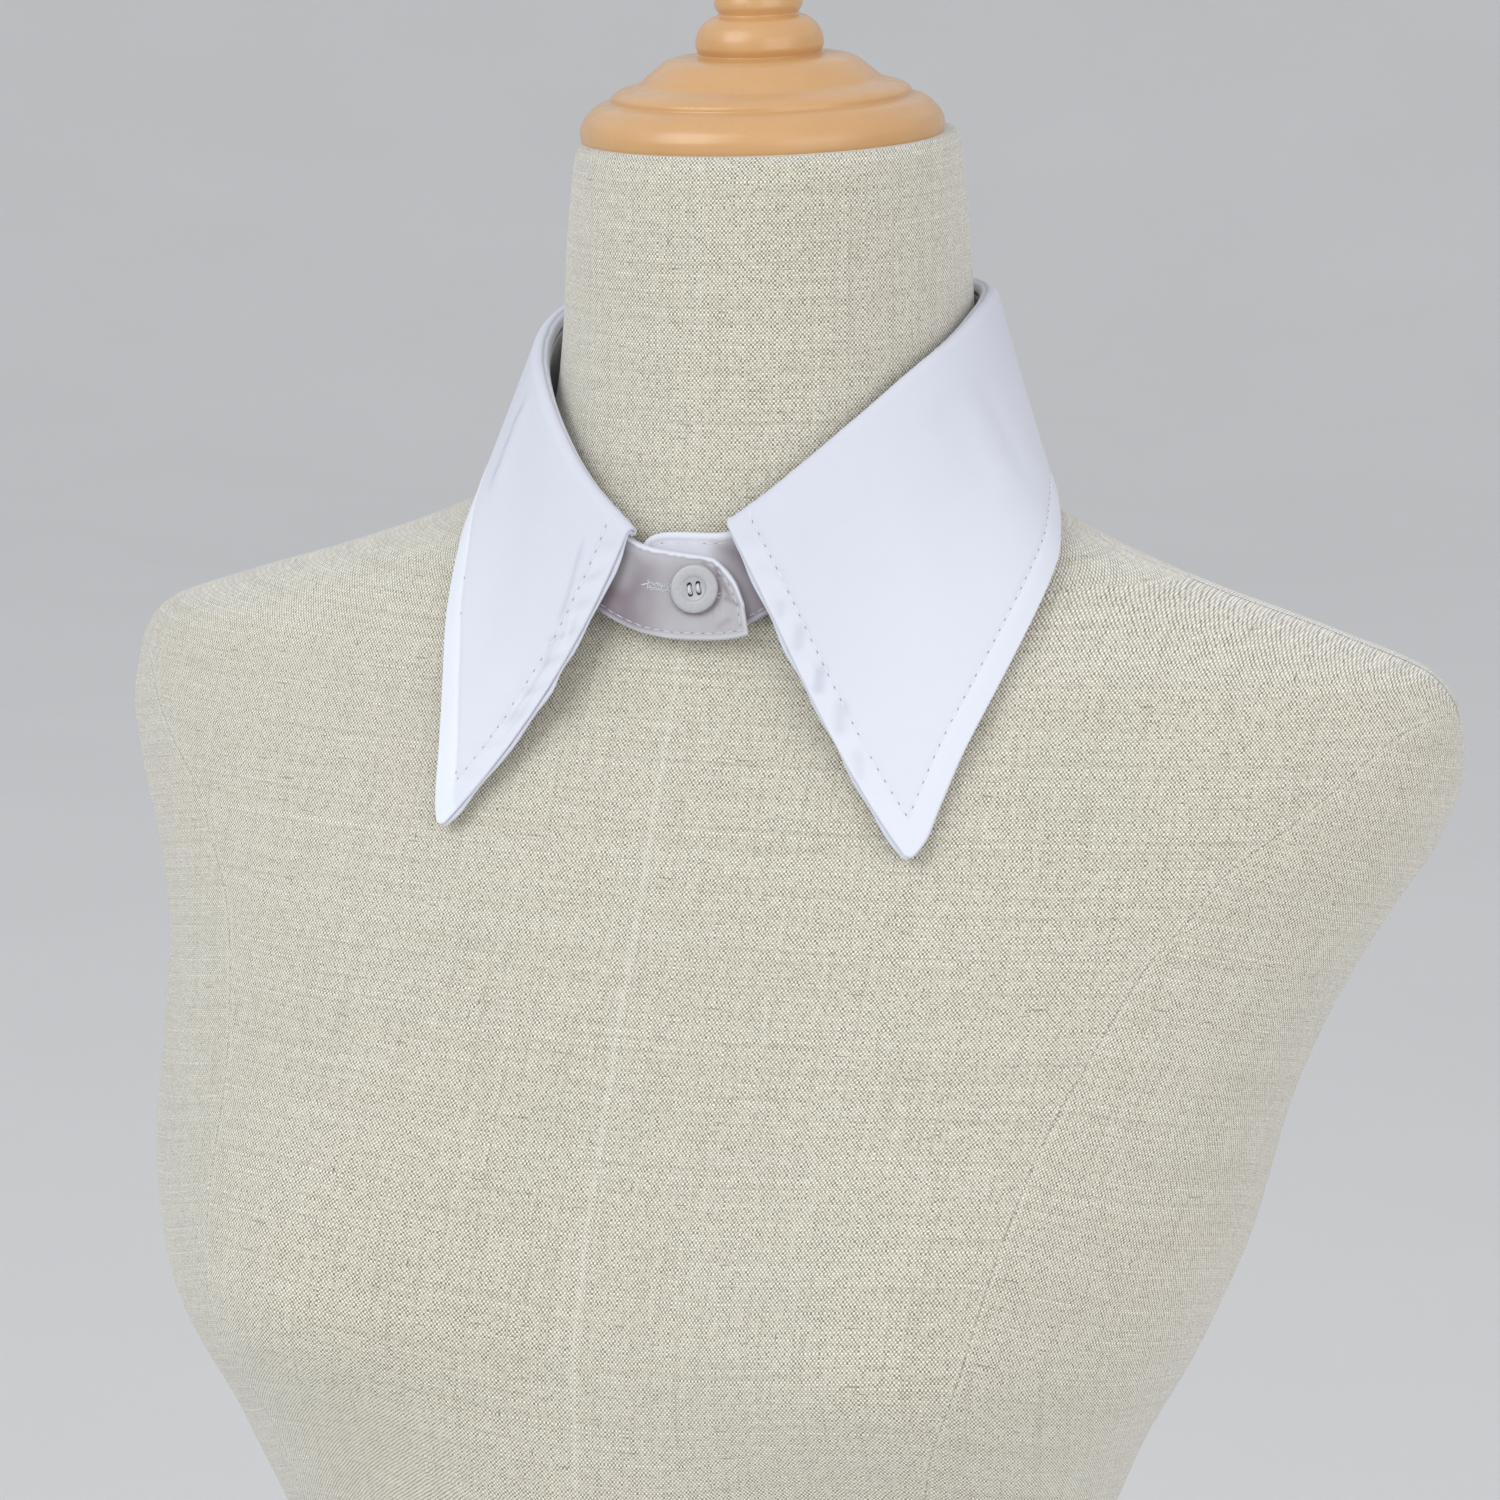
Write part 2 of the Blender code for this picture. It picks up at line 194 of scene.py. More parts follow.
# %% Turning arrays of points into pieces
def piece(name, points, faces, material, uv=None, marks=None, stage=False):
    """Make an object from points in table millimetres and arrays of corner numbers.
    uv holds one pair for each corner, and marks one number for each point, by name."""
    mesh = bpy.data.meshes.new(name)
    world = points if stage else (points + FOLD_RING) * MM
    mesh.vertices.add(len(points))
    mesh.vertices.foreach_set("co", np.ascontiguousarray(world, np.float32).ravel())
    sizes = np.concatenate([np.full(len(f), f.shape[1]) for f in faces])
    corners = np.concatenate([f.ravel() for f in faces])
    mesh.loops.add(len(corners))
    mesh.loops.foreach_set("vertex_index", corners.astype(np.int32))
    mesh.polygons.add(len(sizes))
    starts = np.concatenate([[0], np.cumsum(sizes)[:-1]])
    mesh.polygons.foreach_set("loop_start", starts.astype(np.int32))
    mesh.update(calc_edges=True)
    mesh.polygons.foreach_set("use_smooth", np.ones(len(sizes), bool))
    for label, values in (marks or {}).items():
        held = mesh.attributes.new(label, "FLOAT", "POINT").data
        held.foreach_set("value", np.ascontiguousarray(values, np.float32).ravel())
    if uv is not None:
        held = mesh.uv_layers.new(name="grain").data
        held.foreach_set("uv", np.ascontiguousarray(uv, np.float32).ravel())
    mesh.materials.append(material)
    mesh.validate()
    made = bpy.data.objects.new(name, mesh)
    bpy.context.scene.collection.objects.link(made)
    if stage:
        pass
    else:
        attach(made, "root")
    print(name, len(points), "points,", int((sizes - 2).sum()), "triangles")
    return made


def grid_faces(rows, columns, start=0, wrap=False):
    """Corner numbers of the quads of a grid that is stored row by row."""
    i = np.arange(rows - 1)[:, None]
    j = np.arange(columns if wrap else columns - 1)[None, :]
    k = (j + 1) % columns
    corners = [(i, j), (i, k), (i + 1, k), (i + 1, j)]
    return np.stack([row * columns + column for row, column in corners], -1).reshape(-1, 4) + start


def closed_rings(grid, start=0):
    """Quads between rings, and one flat face at each end."""
    rows, columns = grid.shape[:2]
    ring = np.arange(columns)[None, :] + start
    return [grid_faces(rows, columns, start, wrap=True), ring[:, ::-1], ring + (rows - 1) * columns]


# %% The floor, its finish and the lamps
floor_paint = mottled("floor_paint", 0.8, (3.0,), (0.73, 0.73, 0.72), (0.77, 0.77, 0.76), 60.0, 0.0003)
# a disc that sweeps up all round into a low wall, so that no horizon shows
FLAT, SWEEP, ROUND = 4.5, 3.5, 96
bend = np.linspace(0, np.pi / 2, 24)
floor_r = np.concatenate([np.linspace(0.01, FLAT, 12)[:-1], FLAT + SWEEP * np.sin(bend)])
floor_z = np.concatenate([np.zeros(11), SWEEP * (1 - np.cos(bend))])
a = np.linspace(0, 2 * np.pi, ROUND, endpoint=False)
bowl = np.stack([floor_r[:, None] * np.cos(a), floor_r[:, None] * np.sin(a), floor_z[:, None] + 0 * a], -1)
bowl_faces = [np.arange(ROUND)[None, :], grid_faces(len(floor_r), ROUND, wrap=True)[:, ::-1]]
piece("floor", bowl.reshape(-1, 3), bowl_faces, floor_paint, stage=True)

world = bpy.data.worlds.new("pale_room")
bpy.context.scene.world = world
world.use_nodes = True
sky = world.node_tree.nodes["Background"].inputs
sky["Color"].default_value, sky["Strength"].default_value = (0.93, 0.95, 1.0, 1.0), 0.74


def lamp(name, at, towards, size, watts, colour):
    """A square soft lamp at a point, turned so that it shines towards another point."""
    data = bpy.data.lights.new(name, "AREA")
    data.shape, data.size, data.energy, data.color = "SQUARE", size, watts, colour
    made = bpy.data.objects.new(name, data)
    away = np.array(at, float) - np.array(towards, float)
    away /= np.linalg.norm(away)
    side = np.cross((0, 0, 1), away)
    side /= np.linalg.norm(side)
    made.matrix_world = standing(side, np.cross(away, side), away, at)
    bpy.context.scene.collection.objects.link(made)


lamp("window", (-1.0, -1.6, 1.8), (0.0, 0.0, 0.50), 1.6, 21.5, (0.97, 1.0, 1.0))
lamp("bounce", (1.7, -1.3, 0.9), (0.0, 0.0, 0.45), 1.8, 15.0, (1.0, 0.985, 0.975))
print("floor, sky and lamps are in place")

# %% [markdown]
# ## Curves, directions and the tables
#
# Each big shape is a table of a few measured sections with smooth curves through them. The
# curves never overshoot a value of the table, so a section can be placed exactly. The same
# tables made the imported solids, which is why the fine cloth lands on them.


# %% Small formulas
def through(table, column, at):
    """A smooth curve through one column of a table, read against its first column: cubics
    whose slopes are harmonic means of the steps on both sides, and flat where those turn."""
    xs, ys = table[:, 0], table[:, column]
    step = np.diff(xs)
    rise = np.diff(ys) / step
    slope = np.zeros_like(ys)
    w1, w2 = 2 * step[1:] + step[:-1], step[1:] + 2 * step[:-1]
    same = rise[:-1] * rise[1:] > 0
    safe = np.where(same, rise[:-1], 1.0), np.where(same, rise[1:], 1.0)
    slope[1:-1] = np.where(same, (w1 + w2) / (w1 / safe[0] + w2 / safe[1]), 0.0)
    slope[0], slope[-1] = rise[0], rise[-1]
    at = np.asarray(at, float)
    k = np.clip(np.searchsorted(xs, at) - 1, 0, len(xs) - 2)
    t = (at - xs[k]) / step[k]
    return ((1 + 2 * t) * (1 - t) ** 2 * ys[k] + t * (1 - t) ** 2 * step[k] * slope[k]
            + t * t * (3 - 2 * t) * ys[k + 1] + t * t * (t - 1) * step[k] * slope[k + 1])


def ease(t):
    """Rises smoothly from 0 to 1."""
    t = np.clip(t, 0.0, 1.0)
    return t * t * (3 - 2 * t)


def bell(d, width):
    """1 at d = 0, falling to 0 on both sides over about twice the width."""
    return np.exp(-(d / width) ** 2)


def unit(v):
    return v / np.maximum(np.linalg.norm(v, axis=-1, keepdims=True), 1e-12)


def polar(turn, radius, height):
    """A point by its turn from the centre front, over the wearer's left, its radius and height."""
    a = np.radians(turn)
    return np.stack([radius * np.sin(a), -radius * np.cos(a), height + 0 * a], -1)


def sum_up(steps, axis=0):
    """Distances from the first point, where the steps from point to point are known."""
    return np.insert(np.cumsum(steps, axis), 0, 0.0, axis)


def along_path(points):
    """Distance from a path's first point, point by point."""
    return sum_up(np.linalg.norm(np.diff(points, axis=0), axis=-1))


def read(at, run, points):
    """Points of a path, read at given distances along it."""
    return np.stack([np.interp(at, run, points[:, k]) for k in range(3)], -1)


def grid_at(grid, i, j):
    """Read a grid between its points: each of the four around counts by its nearness."""
    i0 = np.clip(np.floor(i).astype(int), 0, grid.shape[0] - 2)
    j0 = np.clip(np.floor(j).astype(int), 0, grid.shape[1] - 2)
    fi, fj = [part.reshape(part.shape + (1,) * (grid.ndim - 2)) for part in (i - i0, j - j0)]
    return (grid[i0, j0] * (1 - fi) * (1 - fj) + grid[i0 + 1, j0] * fi * (1 - fj)
            + grid[i0, j0 + 1] * (1 - fi) * fj + grid[i0 + 1, j0 + 1] * fi * fj)


def nearest(points, path):
    """Each point's distance to a path, and how far along the path that is."""
    best, run = np.full(points.shape[:-1], 1e9), np.zeros(points.shape[:-1])
    reached = along_path(path)
    for k in range(len(path) - 1):
        edge = path[k + 1] - path[k]
        t = np.clip(((points - path[k]) @ edge) / (edge @ edge), 0, 1)
        d = np.linalg.norm(points - path[k] - t[..., None] * edge, axis=-1)
        run = np.where(d < best, reached[k] + t * np.linalg.norm(edge), run)
        best = np.minimum(best, d)
    return best, run


# %% The dress form's sections
# height, half width, y where widest, front y, back y, roundness of the front and of the back
FORM = np.array([
    (-600, 160, -20, -140, 86, 2.40, 2.20), (-530, 166, -20, -138, 92, 2.40, 2.20),
    (-450, 144, -26, -128, 70, 2.40, 2.10), (-380, 112, -38, -119, 32, 2.30, 2.00),
    (-330, 108, -42, -123, 22, 2.30, 2.00), (-285, 121, -46, -132, 23, 2.50, 1.90),
    (-250, 138, -46, -134, 29, 2.60, 1.85), (-220, 149, -40, -127, 42, 2.60, 1.85),
    (-190, 155, -27, -115, 63, 2.50, 1.90), (-165, 163, -10, -104, 83, 2.30, 2.00),
    (-145, 173, 0, -94, 92, 2.15, 2.10), (-125, 184, 6, -85, 94, 2.00, 2.15),
    (-107, 189, 8, -77, 91, 1.90, 2.10), (-94, 188, 8, -70, 86, 1.78, 2.00),
    (-84, 182, 7, -66, 82, 1.68, 1.85), (-74, 157, 6, -62, 77, 1.62, 1.72),
    (-64, 125, 5, -59, 72, 1.64, 1.70), (-54, 97, 5, -56.5, 67, 1.75, 1.80),
    (-44, 76, 4, -55, 63, 1.90, 1.95), (-34, 64, 4, -54, 60, 2.00, 2.05),
    (-20, 57.5, 4, -53, 58, 2.05, 2.10), (0, 54.8, 3, -53, 56, 2.05, 2.10),
    (25, 53.2, 1, -53.5, 54, 2.05, 2.10), (41.5, 51.5, 0, -53.5, 51, 2.05, 2.10),
    (48.6, 50.6, 0, -52.4, 50, 2.05, 2.10), (51.4, 49.3, 0, -50.8, 48.6, 2.05, 2.10)], float)
BUST = dict(x=80.0, z=-238.0, wide=44.0, above=57.0, below=37.0, out=20.0)
NECK_TILT = np.tan(np.radians((5.2, 0.9)))   # the neck top leans forward and to the wearer's right

# %% The collar's tables
# band: turn, radius and height of the upper edge, then of the lower edge (inner face)
BAND = np.array([
    (-14.5, 60.8, -61.5, -15.5, 63.2, -69.4), (-12.8, 58.9, -54.3, -13.5, 63.0, -71.0),
    (-10.2, 57.7, -50.0, -11.0, 62.9, -72.2), (-6.0, 57.5, -48.6, -7.0, 62.8, -73.4),
    (-1.0, 57.5, -48.3, -1.5, 62.8, -74.2), (5.0, 57.5, -48.2, 5.0, 62.9, -74.6),
    (11.0, 57.5, -47.6, 12.0, 63.2, -72.6),
    (19.0, 57.5, -42.3, 20.5, 63.8, -68.0), (30.0, 57.4, -33.0, 31.0, 64.6, -57.0),
    (45.0, 57.2, -20.6, 46.0, 62.6, -43.0), (60.0, 56.8, -10.0, 60.0, 61.4, -34.5),
    (76.0, 56.4, -2.0, 76.0, 61.0, -29.0), (92.0, 56.2, 4.5, 92.0, 60.4, -25.0),
    (110.0, 56.6, 8.2, 110.0, 60.2, -22.0), (135.0, 57.2, 9.4, 135.0, 60.2, -20.5),
    (180.0, 57.8, 9.0, 180.0, 60.2, -20.0), (225.0, 57.9, 6.6, 225.0, 60.2, -20.5),
    (250.0, 57.9, 3.6, 250.0, 60.6, -22.5), (268.0, 57.8, -1.2, 268.0, 61.0, -26.5),
    (284.0, 57.6, -7.2, 284.0, 61.4, -31.0), (300.0, 57.5, -14.2, 300.0, 61.8, -37.0),
    (316.0, 57.4, -25.6, 315.0, 62.8, -46.5), (331.0, 57.4, -38.6, 330.0, 64.2, -59.5),
    (342.0, 57.5, -47.2, 341.0, 63.8, -69.0), (346.5, 57.8, -50.6, 346.5, 63.2, -72.0),
    (352.5, 58.0, -52.4, 353.0, 62.9, -74.2), (360.0, 58.2, -53.2, 360.5, 62.9, -75.0),
    (367.0, 58.4, -54.0, 368.0, 63.1, -74.8), (370.3, 59.4, -56.2, 371.2, 63.8, -74.4),
    (373.3, 60.7, -60.0, 374.0, 64.2, -73.8), (375.2, 62.2, -65.0, 376.4, 64.6, -73.0)], float)
# fall: turn of the fold, then turn, radius and height of the edge that it reaches (outer face)
FALL = np.array([
    (11, 39.3, 108.8, -124.5), (15, 41.8, 107.9, -119.5), (20, 44.3, 106.2, -111.5), (28, 48.5, 103.8, -99),
    (38, 55, 101.3, -84), (50, 64, 98, -67), (63, 73, 93.6, -55), (77, 83.5, 86, -46.8),
    (92, 95, 80.2, -42.2), (110, 110.5, 77.2, -41.6), (135, 135, 73, -42), (180, 180, 69.5, -42),
    (225, 225, 71.8, -40.6), (255, 255.5, 75.2, -38.8), (275, 275.5, 76.2, -40.4), (290, 289.5, 77.2, -44.8),
    (304, 300.5, 82.3, -56), (316, 308.5, 88.4, -74), (326, 315.5, 93.2, -91), (335, 320.5, 98, -105.5),
    (341.5, 323.6, 102, -118.5), (346.5, 326.2, 104.3, -125.3)], float)
FALL_START, FALL_END = 11.0, 346.5
LAP_START, LAP_END, LAP_STEP = 285.0, 345.0, 3.3   # the band steps out here, to pass over its other end
PLY, PLY_GAP, SKIN_GAP = 1.0, 0.35, 0.6            # one layer of cloth, air between layers, air to the form
ROLL, ROLL_LIFT = 2.65, 1.0                        # radius of the fold, and its height above the band
BOW_LEFT, BOW_RIGHT = 2.3, 4.9                     # how far each front edge bows to the centre


# %% [markdown]
# ## The linen
#
# The form is covered in a plain weave of uneven flax threads, about two to the millimetre,
# with dark pores where four threads meet. It could be a picture wrapped round the
# form, but a formula stays sharp at any size. Each thread is a row of bulges that pass over and
# under the crossing ones, and every thread draws its own thickness and shade from its number.

# %% Linen cover
WARP_PITCH, WEFT_PITCH = 0.51, 0.58   # millimetres between threads that run down, and across
linen_cover, shader = finish("linen_cover", 0.92, Specular_IOR_Level=0.18, Sheen_Weight=0.70,
                             Sheen_Roughness=0.60)
grain = put("UVMap", {"uv_map": "grain"}).outputs[0]
wander = put("TexNoise", None, {"Vector": grain, "Scale": 0.35, "Detail": 2.0}).outputs["Color"]
sway = split("SeparateColor", wander)
place_at = split("SeparateXYZ", grain)
threads = []
for axis, pitch, spread in ((0, WARP_PITCH, 0.5), (1, WEFT_PITCH, 0.6)):
    # the spacing is uneven from thread to thread, and hardly changes along one
    uneven = noise(grain, 1.0, 2.0, 0.6, (0.62, 0.012, 1.0) if axis == 0 else (0.012, 0.62, 1.0))
    moved = (uneven - 0.5) * 1.3 + ((sway[axis] - 0.5) * spread + place_at[axis] / pitch)
    number = calc("FLOOR", moved)
    own = put("TexWhiteNoise", {"noise_dimensions": "1D"}, {"W": number + (0.37 + 40.0 * axis)})
    own = Wire(own.outputs["Value"])
    # thickness changes from thread to thread and slowly along each one
    beside = put("CombineXYZ", None, {axis: number * 7.3, 1 - axis: place_at[1 - axis] * 0.16}).outputs[0]
    slow = noise(beside, 1.0, 3.0)
    width = slow * 0.50 + (own * 0.20 + 0.50)
    bulge = calc("COSINE", calc("MINIMUM", abs((moved - number - 0.5) * 3.14159 / width), 1.5708))
    swing = calc("SINE", moved * 3.14159)   # changes sign with every thread
    threads.append((number, bulge, own * 0.5 + slow * 0.5, swing))
(warp_no, warp, warp_shade, warp_swing), (weft_no, weft, weft_shade, weft_swing) = threads
over = calc("MODULO", abs(warp_no + weft_no), 2.0) * 2.0 - 1.0
warp_high = warp * (over * weft * 0.42 + 0.50)
weft_high = weft * (over * warp * -0.42 + 0.60)
weave = calc("MAXIMUM", warp_high, weft_high)
on_warp = calc("GREATER_THAN", warp_high, weft_high)
flax = tint(on_warp * warp_shade + (1.0 - on_warp) * weft_shade, (0.87, 0.81, 0.645), (1.0, 0.97, 0.85))
patches = noise(grain, 0.022, 2.0)
flax = tint(fade(patches, 0.52, 0.72, 0.0, 0.22), flax, (0.97, 0.83, 0.71))
flax = tint(fade(patches, 0.48, 0.30, 0.0, 0.18), flax, (0.84, 0.87, 0.71))
# some neighbouring threads are thicker and darker than the rest, all along their length
for stretch in ((0.9, 0.015, 1.0), (0.015, 0.9, 1.0)):
    flax = tint(fade(noise(grain, 1.0, 2.0, 0.5, stretch), 0.50, 0.70, 0.0, 0.17), flax, (0.50, 0.45, 0.35))
# every crossing of two threads is tight or open by chance, which decides how dark its pores are
crossing = put("CombineXYZ", None, {0: warp_no, 1: weft_no}).outputs[0]
drawn = put("TexWhiteNoise", {"noise_dimensions": "2D"}, {"Vector": crossing}).outputs["Color"]
open_here = calc("POWER", split("SeparateColor", drawn)[0], 1.3) * 0.44 + 0.60
flax = tint(fade(warp_swing * weft_swing, -0.50, 0.42, 1.0, 0.0) * open_here, flax, (0.20, 0.17, 0.12))
flax = tint(fade(weave, 0.08, 0.50, 1.0, 0.0) * (open_here * 0.55), flax, (0.12, 0.10, 0.07))
# stray dark fibres that lie along the weft, and a few along the warp
slubs = fade(noise(grain, 1.0, 1.0, 0.5, (0.11, 1.1, 1.0)), 0.715, 0.76)
thorns = fade(noise(grain, 1.0, 1.0, 0.5, (1.0, 0.20, 1.0)), 0.755, 0.79)
flax = tint(slubs * 0.50, flax, (0.16, 0.13, 0.09))
flax = tint(thorns * 0.62, flax, (0.10, 0.08, 0.055))
centre_line, bust_line, side_line = [abs(mark(label + "_seam")) for label in ("front", "princess", "side")]
closest = calc("MINIMUM", bust_line, side_line)


def dip(line, width):
    """1 on a line, falling to 0 on both sides: e to the power of minus (d / width) squared."""
    share = line / width
    return calc("POWER", 2.71828, share * share * -1.0)


crack = fade(closest, 0.05, 0.40, 1.0, 0.0) * fade(noise(grain, 0.95, 2.0), 0.47, 0.60, 0.0, 1.0)
flax = tint(dip(closest - 0.95, 0.45) * 0.10, flax, (1.0, 0.96, 0.84))
flax = tint(crack * 0.62, flax, (0.20, 0.165, 0.115))
flax = tint(dip(centre_line, 0.7) * 0.15, flax, (0.98, 0.95, 0.85))
seams = dip(closest, 0.9) * 0.22 + dip(centre_line, 1.0) * 0.20
connect(shader, flax, weave - (seams + crack), 0.00014)
print("linen cover has", len(bench["tree"].nodes), "nodes")

# %% [markdown]
# ## The dress form
#
# The real form is a moulded shell with a thin layer of padding, covered in panels of linen that
# meet in seams: one down the centre front, one from each shoulder end over the bust, and one
# along the shoulder and down the side. One could sculpt it, but a stack of sections gives the
# same round shape at once. Each section is a squared-off ellipse, the bust is a soft bump on
# it, and each seam is a line along which the surface dips between two raised edges.


# %% The form's sections
def neck_lean(x, y, z):
    """How much higher a point lies because the neck top slopes."""
    return ease(z / 50) * (NECK_TILT[0] * y + NECK_TILT[1] * x)


def section(z, in_front):
    """Half width, middle, depth and roundness of the form at a height, in front or behind."""
    w, mid, front, behind, nf, nb = [through(FORM, k, z) for k in range(1, 7)]
    return w, mid, np.where(in_front, mid - front, behind - mid), np.where(in_front, nf, nb)


def form_point(z, a):
    """A section is |x/w|^p + |y/d|^p = 1, with its own d and p in front and behind. The bust
    pushes the front out by a bell curve, and the neck top is sloped."""
    s, c = np.sin(a), np.cos(a)
    w, mid, deep, power = section(z, c > 0)
    x = w * np.sign(s) * np.abs(s) ** (2 / power)
    y = mid - np.sign(c) * deep * np.abs(c) ** (2 / power)
    tall = np.where(z < BUST["z"], BUST["below"], BUST["above"])
    bump = (BUST["out"] * bell(np.abs(x) - BUST["x"], BUST["wide"]) * bell(z - BUST["z"], tall)
            * np.sqrt(np.clip(c, 0, 1)))
    x, y = x * (1 + 0.25 * bump / BUST["x"]), y - bump
    return np.stack([x, y, z + neck_lean(x, y, z)], -1)


# rows lie closer together where the shoulder runs nearly flat
probe = np.linspace(FORM[0, 0], FORM[-1, 0], 4001)
side_run = sum_up(np.hypot(np.diff(probe), 0.8 * np.diff(through(FORM, 1, probe))))
form_z = np.interp(np.linspace(0, side_run[-1], 224), side_run, probe)
form_a = np.radians(np.arange(-180, 180, 1.0))
form_grid = form_point(form_z[:, None], form_a[None, :])
level = form_z[:, None]
print("rows of the form are", round(float(side_run[-1] / 223), 2), "mm apart")

# %% Lengths round and down the form, for seams and grain
columns = len(form_a)
middle = columns // 2
round_run = sum_up(np.linalg.norm(np.roll(form_grid, -1, 1) - form_grid, axis=-1), 1)
round_run -= round_run[:, middle:middle + 1]          # 0 at the centre front, one extra column
down_run = sum_up(np.hypot(*np.moveaxis(np.diff(form_grid, axis=0)[..., 1:], -1, 0)))
down_run = down_run[-1] - down_run                    # 0 at the neck top
run, half_round, quarter = round_run[:, :-1], round_run[:, -1], round_run[:, middle + 90]
in_front = np.abs(run) <= quarter[:, None] + 1e-6

# %% Where the seams lie
# princess seam: height and distance from the centre, as a seam that starts at the shoulder end
PRINCESS = np.array([(-600, 66), (-450, 60), (-370, 66), (-330, 78), (-295, 85), (-265, 88), (-240, 95),
                     (-214, 101), (-187, 109), (-169, 117), (-150, 126), (-137, 136), (-129, 141),
                     (-117, 155), (-108, 165), (-96, 177), (-91, 186.5)], float)


def seam_angle(z):
    """How far round its section the princess seam lies: the angle at which x is the table's."""
    x = through(PRINCESS, 1, np.clip(z, -600, -91))
    return np.arcsin(np.clip(x / through(FORM, 1, z), 0, 1) ** (through(FORM, 5, z) / 2))


seam_z = np.concatenate([np.linspace(-600, -140, 60), np.linspace(-137, -91, 60)])
seam_path = form_point(seam_z, seam_angle(seam_z))
seam_path = np.concatenate([seam_path, seam_path[-1:] + 12 * unit(seam_path[-1:] - seam_path[-4:-3])])


def across(line_run, here):
    """Distance square across a seam: the distance round, times the cosine of its slope."""
    slope = np.gradient(line_run) / np.gradient(down_run[:, middle])
    return (here - line_run[:, None]) / np.sqrt(1 + slope ** 2)[:, None]


folded = form_grid * np.where(form_grid[..., :1] < 0, (-1.0, 1.0, 1.0), (1.0, 1.0, 1.0))
seam_near, seam_at = nearest(folded, seam_path)
reached = along_path(seam_path)
ahead = unit(read(seam_at + 1, reached, seam_path) - read(seam_at - 1, reached, seam_path))
outwards = unit(folded * (1.0, 1.0, 0.0) + (0.0, 0.0, 25.0))
beside = (np.cross(ahead, folded - read(seam_at, reached, seam_path)) * outwards).sum(-1)
front_part = seam_near * np.where(beside > 0, -1.0, 1.0)
back_part = across(0.52 * (half_round - quarter), half_round[:, None] - np.abs(run))


def stop_at(line, top, soft):
    """Push a signed distance away from 0 above a height, so that the seam ends there."""
    return line + np.where(line < 0, -400.0, 400.0) * ease((level - top) / soft)


seam_marks = dict(front_seam=stop_at(run, -60, 12),
                  princess_seam=stop_at(np.where(in_front, front_part, back_part), -91, 3),
                  side_seam=stop_at(across(quarter, np.abs(run)), -42, 6))
gap = np.minimum.reduce([np.abs(line) for line in seam_marks.values()])
ripple = bell(gap, 6.0) * (np.sin(down_run * 0.47 + 3 * np.sin(down_run * 0.11))
                           + np.sin(down_run * 0.23 + run * 0.1))
seam_relief = -0.05 * bell(gap, 5.0) + 0.04 * bell(gap - 8.0, 4.0) + 0.02 * ripple
lumps = (0.35 * np.sin(run * 0.031 + down_run * 0.017) * np.sin(down_run * 0.043 - run * 0.012)
         * ease((-60 - level) / 60))
turned = np.roll(form_grid, -1, 1) - np.roll(form_grid, 1, 1)
form_normal = unit(np.cross(turned, np.gradient(form_grid, axis=0)))
form_skin = form_grid + form_normal * (seam_relief + lumps)[..., None]
print("seams dip", round(float(-seam_relief.min()), 2), "mm")

# %% Grain of the linen, in millimetres, and the form itself
SHOULDER_Z, NECK_Z = -95.0, -62.0   # above these the grain follows the shoulder row, and the neck
LEAN = 0.19           # the side panel was cut with its threads at this slope to the front panel's
shoulder = int(np.searchsorted(form_z, SHOULDER_Z))
flat_x = np.abs(form_grid[..., 0])
fore = slice(middle, middle + 91)
front_u = np.stack([np.interp(row, flat_x[shoulder, fore], run[shoulder, fore]) for row in flat_x])
side_sign = np.sign(run + 1e-9)
cloth_u = np.where(level < SHOULDER_Z, np.abs(run),
                   np.where(in_front, front_u, half_round[shoulder] - front_u)) * side_sign
rows = np.arange(len(form_z))
seam_deg = np.degrees(seam_angle(form_z))
seam_column = middle + np.clip(np.floor(seam_deg).astype(int), 0, 179)
part = seam_deg + middle - seam_column
seam_run = round_run[rows, seam_column] * (1 - part) + round_run[rows, seam_column + 1] * part
outer_part = np.where(in_front, np.abs(run) - seam_run[:, None], -1.0)


def corner_pairs(u, v, closing_u):
    """Grain at the four corners of every quad of a closed grid, with its own value at the join."""
    u = np.concatenate([u, closing_u[:, None]], 1)
    v = np.concatenate([v, v[:, :1]], 1)
    pairs = np.stack([u, v], -1)
    return np.stack([pairs[:-1, :-1], pairs[:-1, 1:], pairs[1:, 1:], pairs[1:, :-1]], 2)


closing_u = np.where(form_z < -95, half_round, half_round[shoulder])
panels = [corner_pairs(cloth_u + lean * side_sign * down_run, down_run - lean * np.abs(cloth_u), closing_u)
          for lean in (0.0, LEAN)]
# a face lies wholly in one panel: the one in which the mean of its corners lies
pair_sum = outer_part[:-1] + outer_part[1:]
on_side = (pair_sum + np.roll(pair_sum, -1, 1) > 0)[..., None, None]
on_neck = (form_z[:-1] > NECK_Z)[:, None, None, None]
grain_uv = np.where(on_neck, corner_pairs(run, down_run, half_round), np.where(on_side, panels[1], panels[0]))
grain_uv = np.concatenate([grain_uv.reshape(-1, 2), form_grid[0, ::-1, :2], form_grid[-1, :, :2]])
dress_form = piece("dress_form", form_skin.reshape(-1, 3), closed_rings(form_skin), linen_cover,
                   uv=grain_uv, marks=seam_marks)
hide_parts("form_torso")

# %% [markdown]
# ## The wooden cap
#
# The neck is closed by a turned piece of pale wood under a glossy varnish: a wide rounded rim,
# a step, a long hollow curve and a ball that carries the knob. It was made on a lathe, so it is
# one outline swept round an axis. The outline is smoothed between a few measured corners.

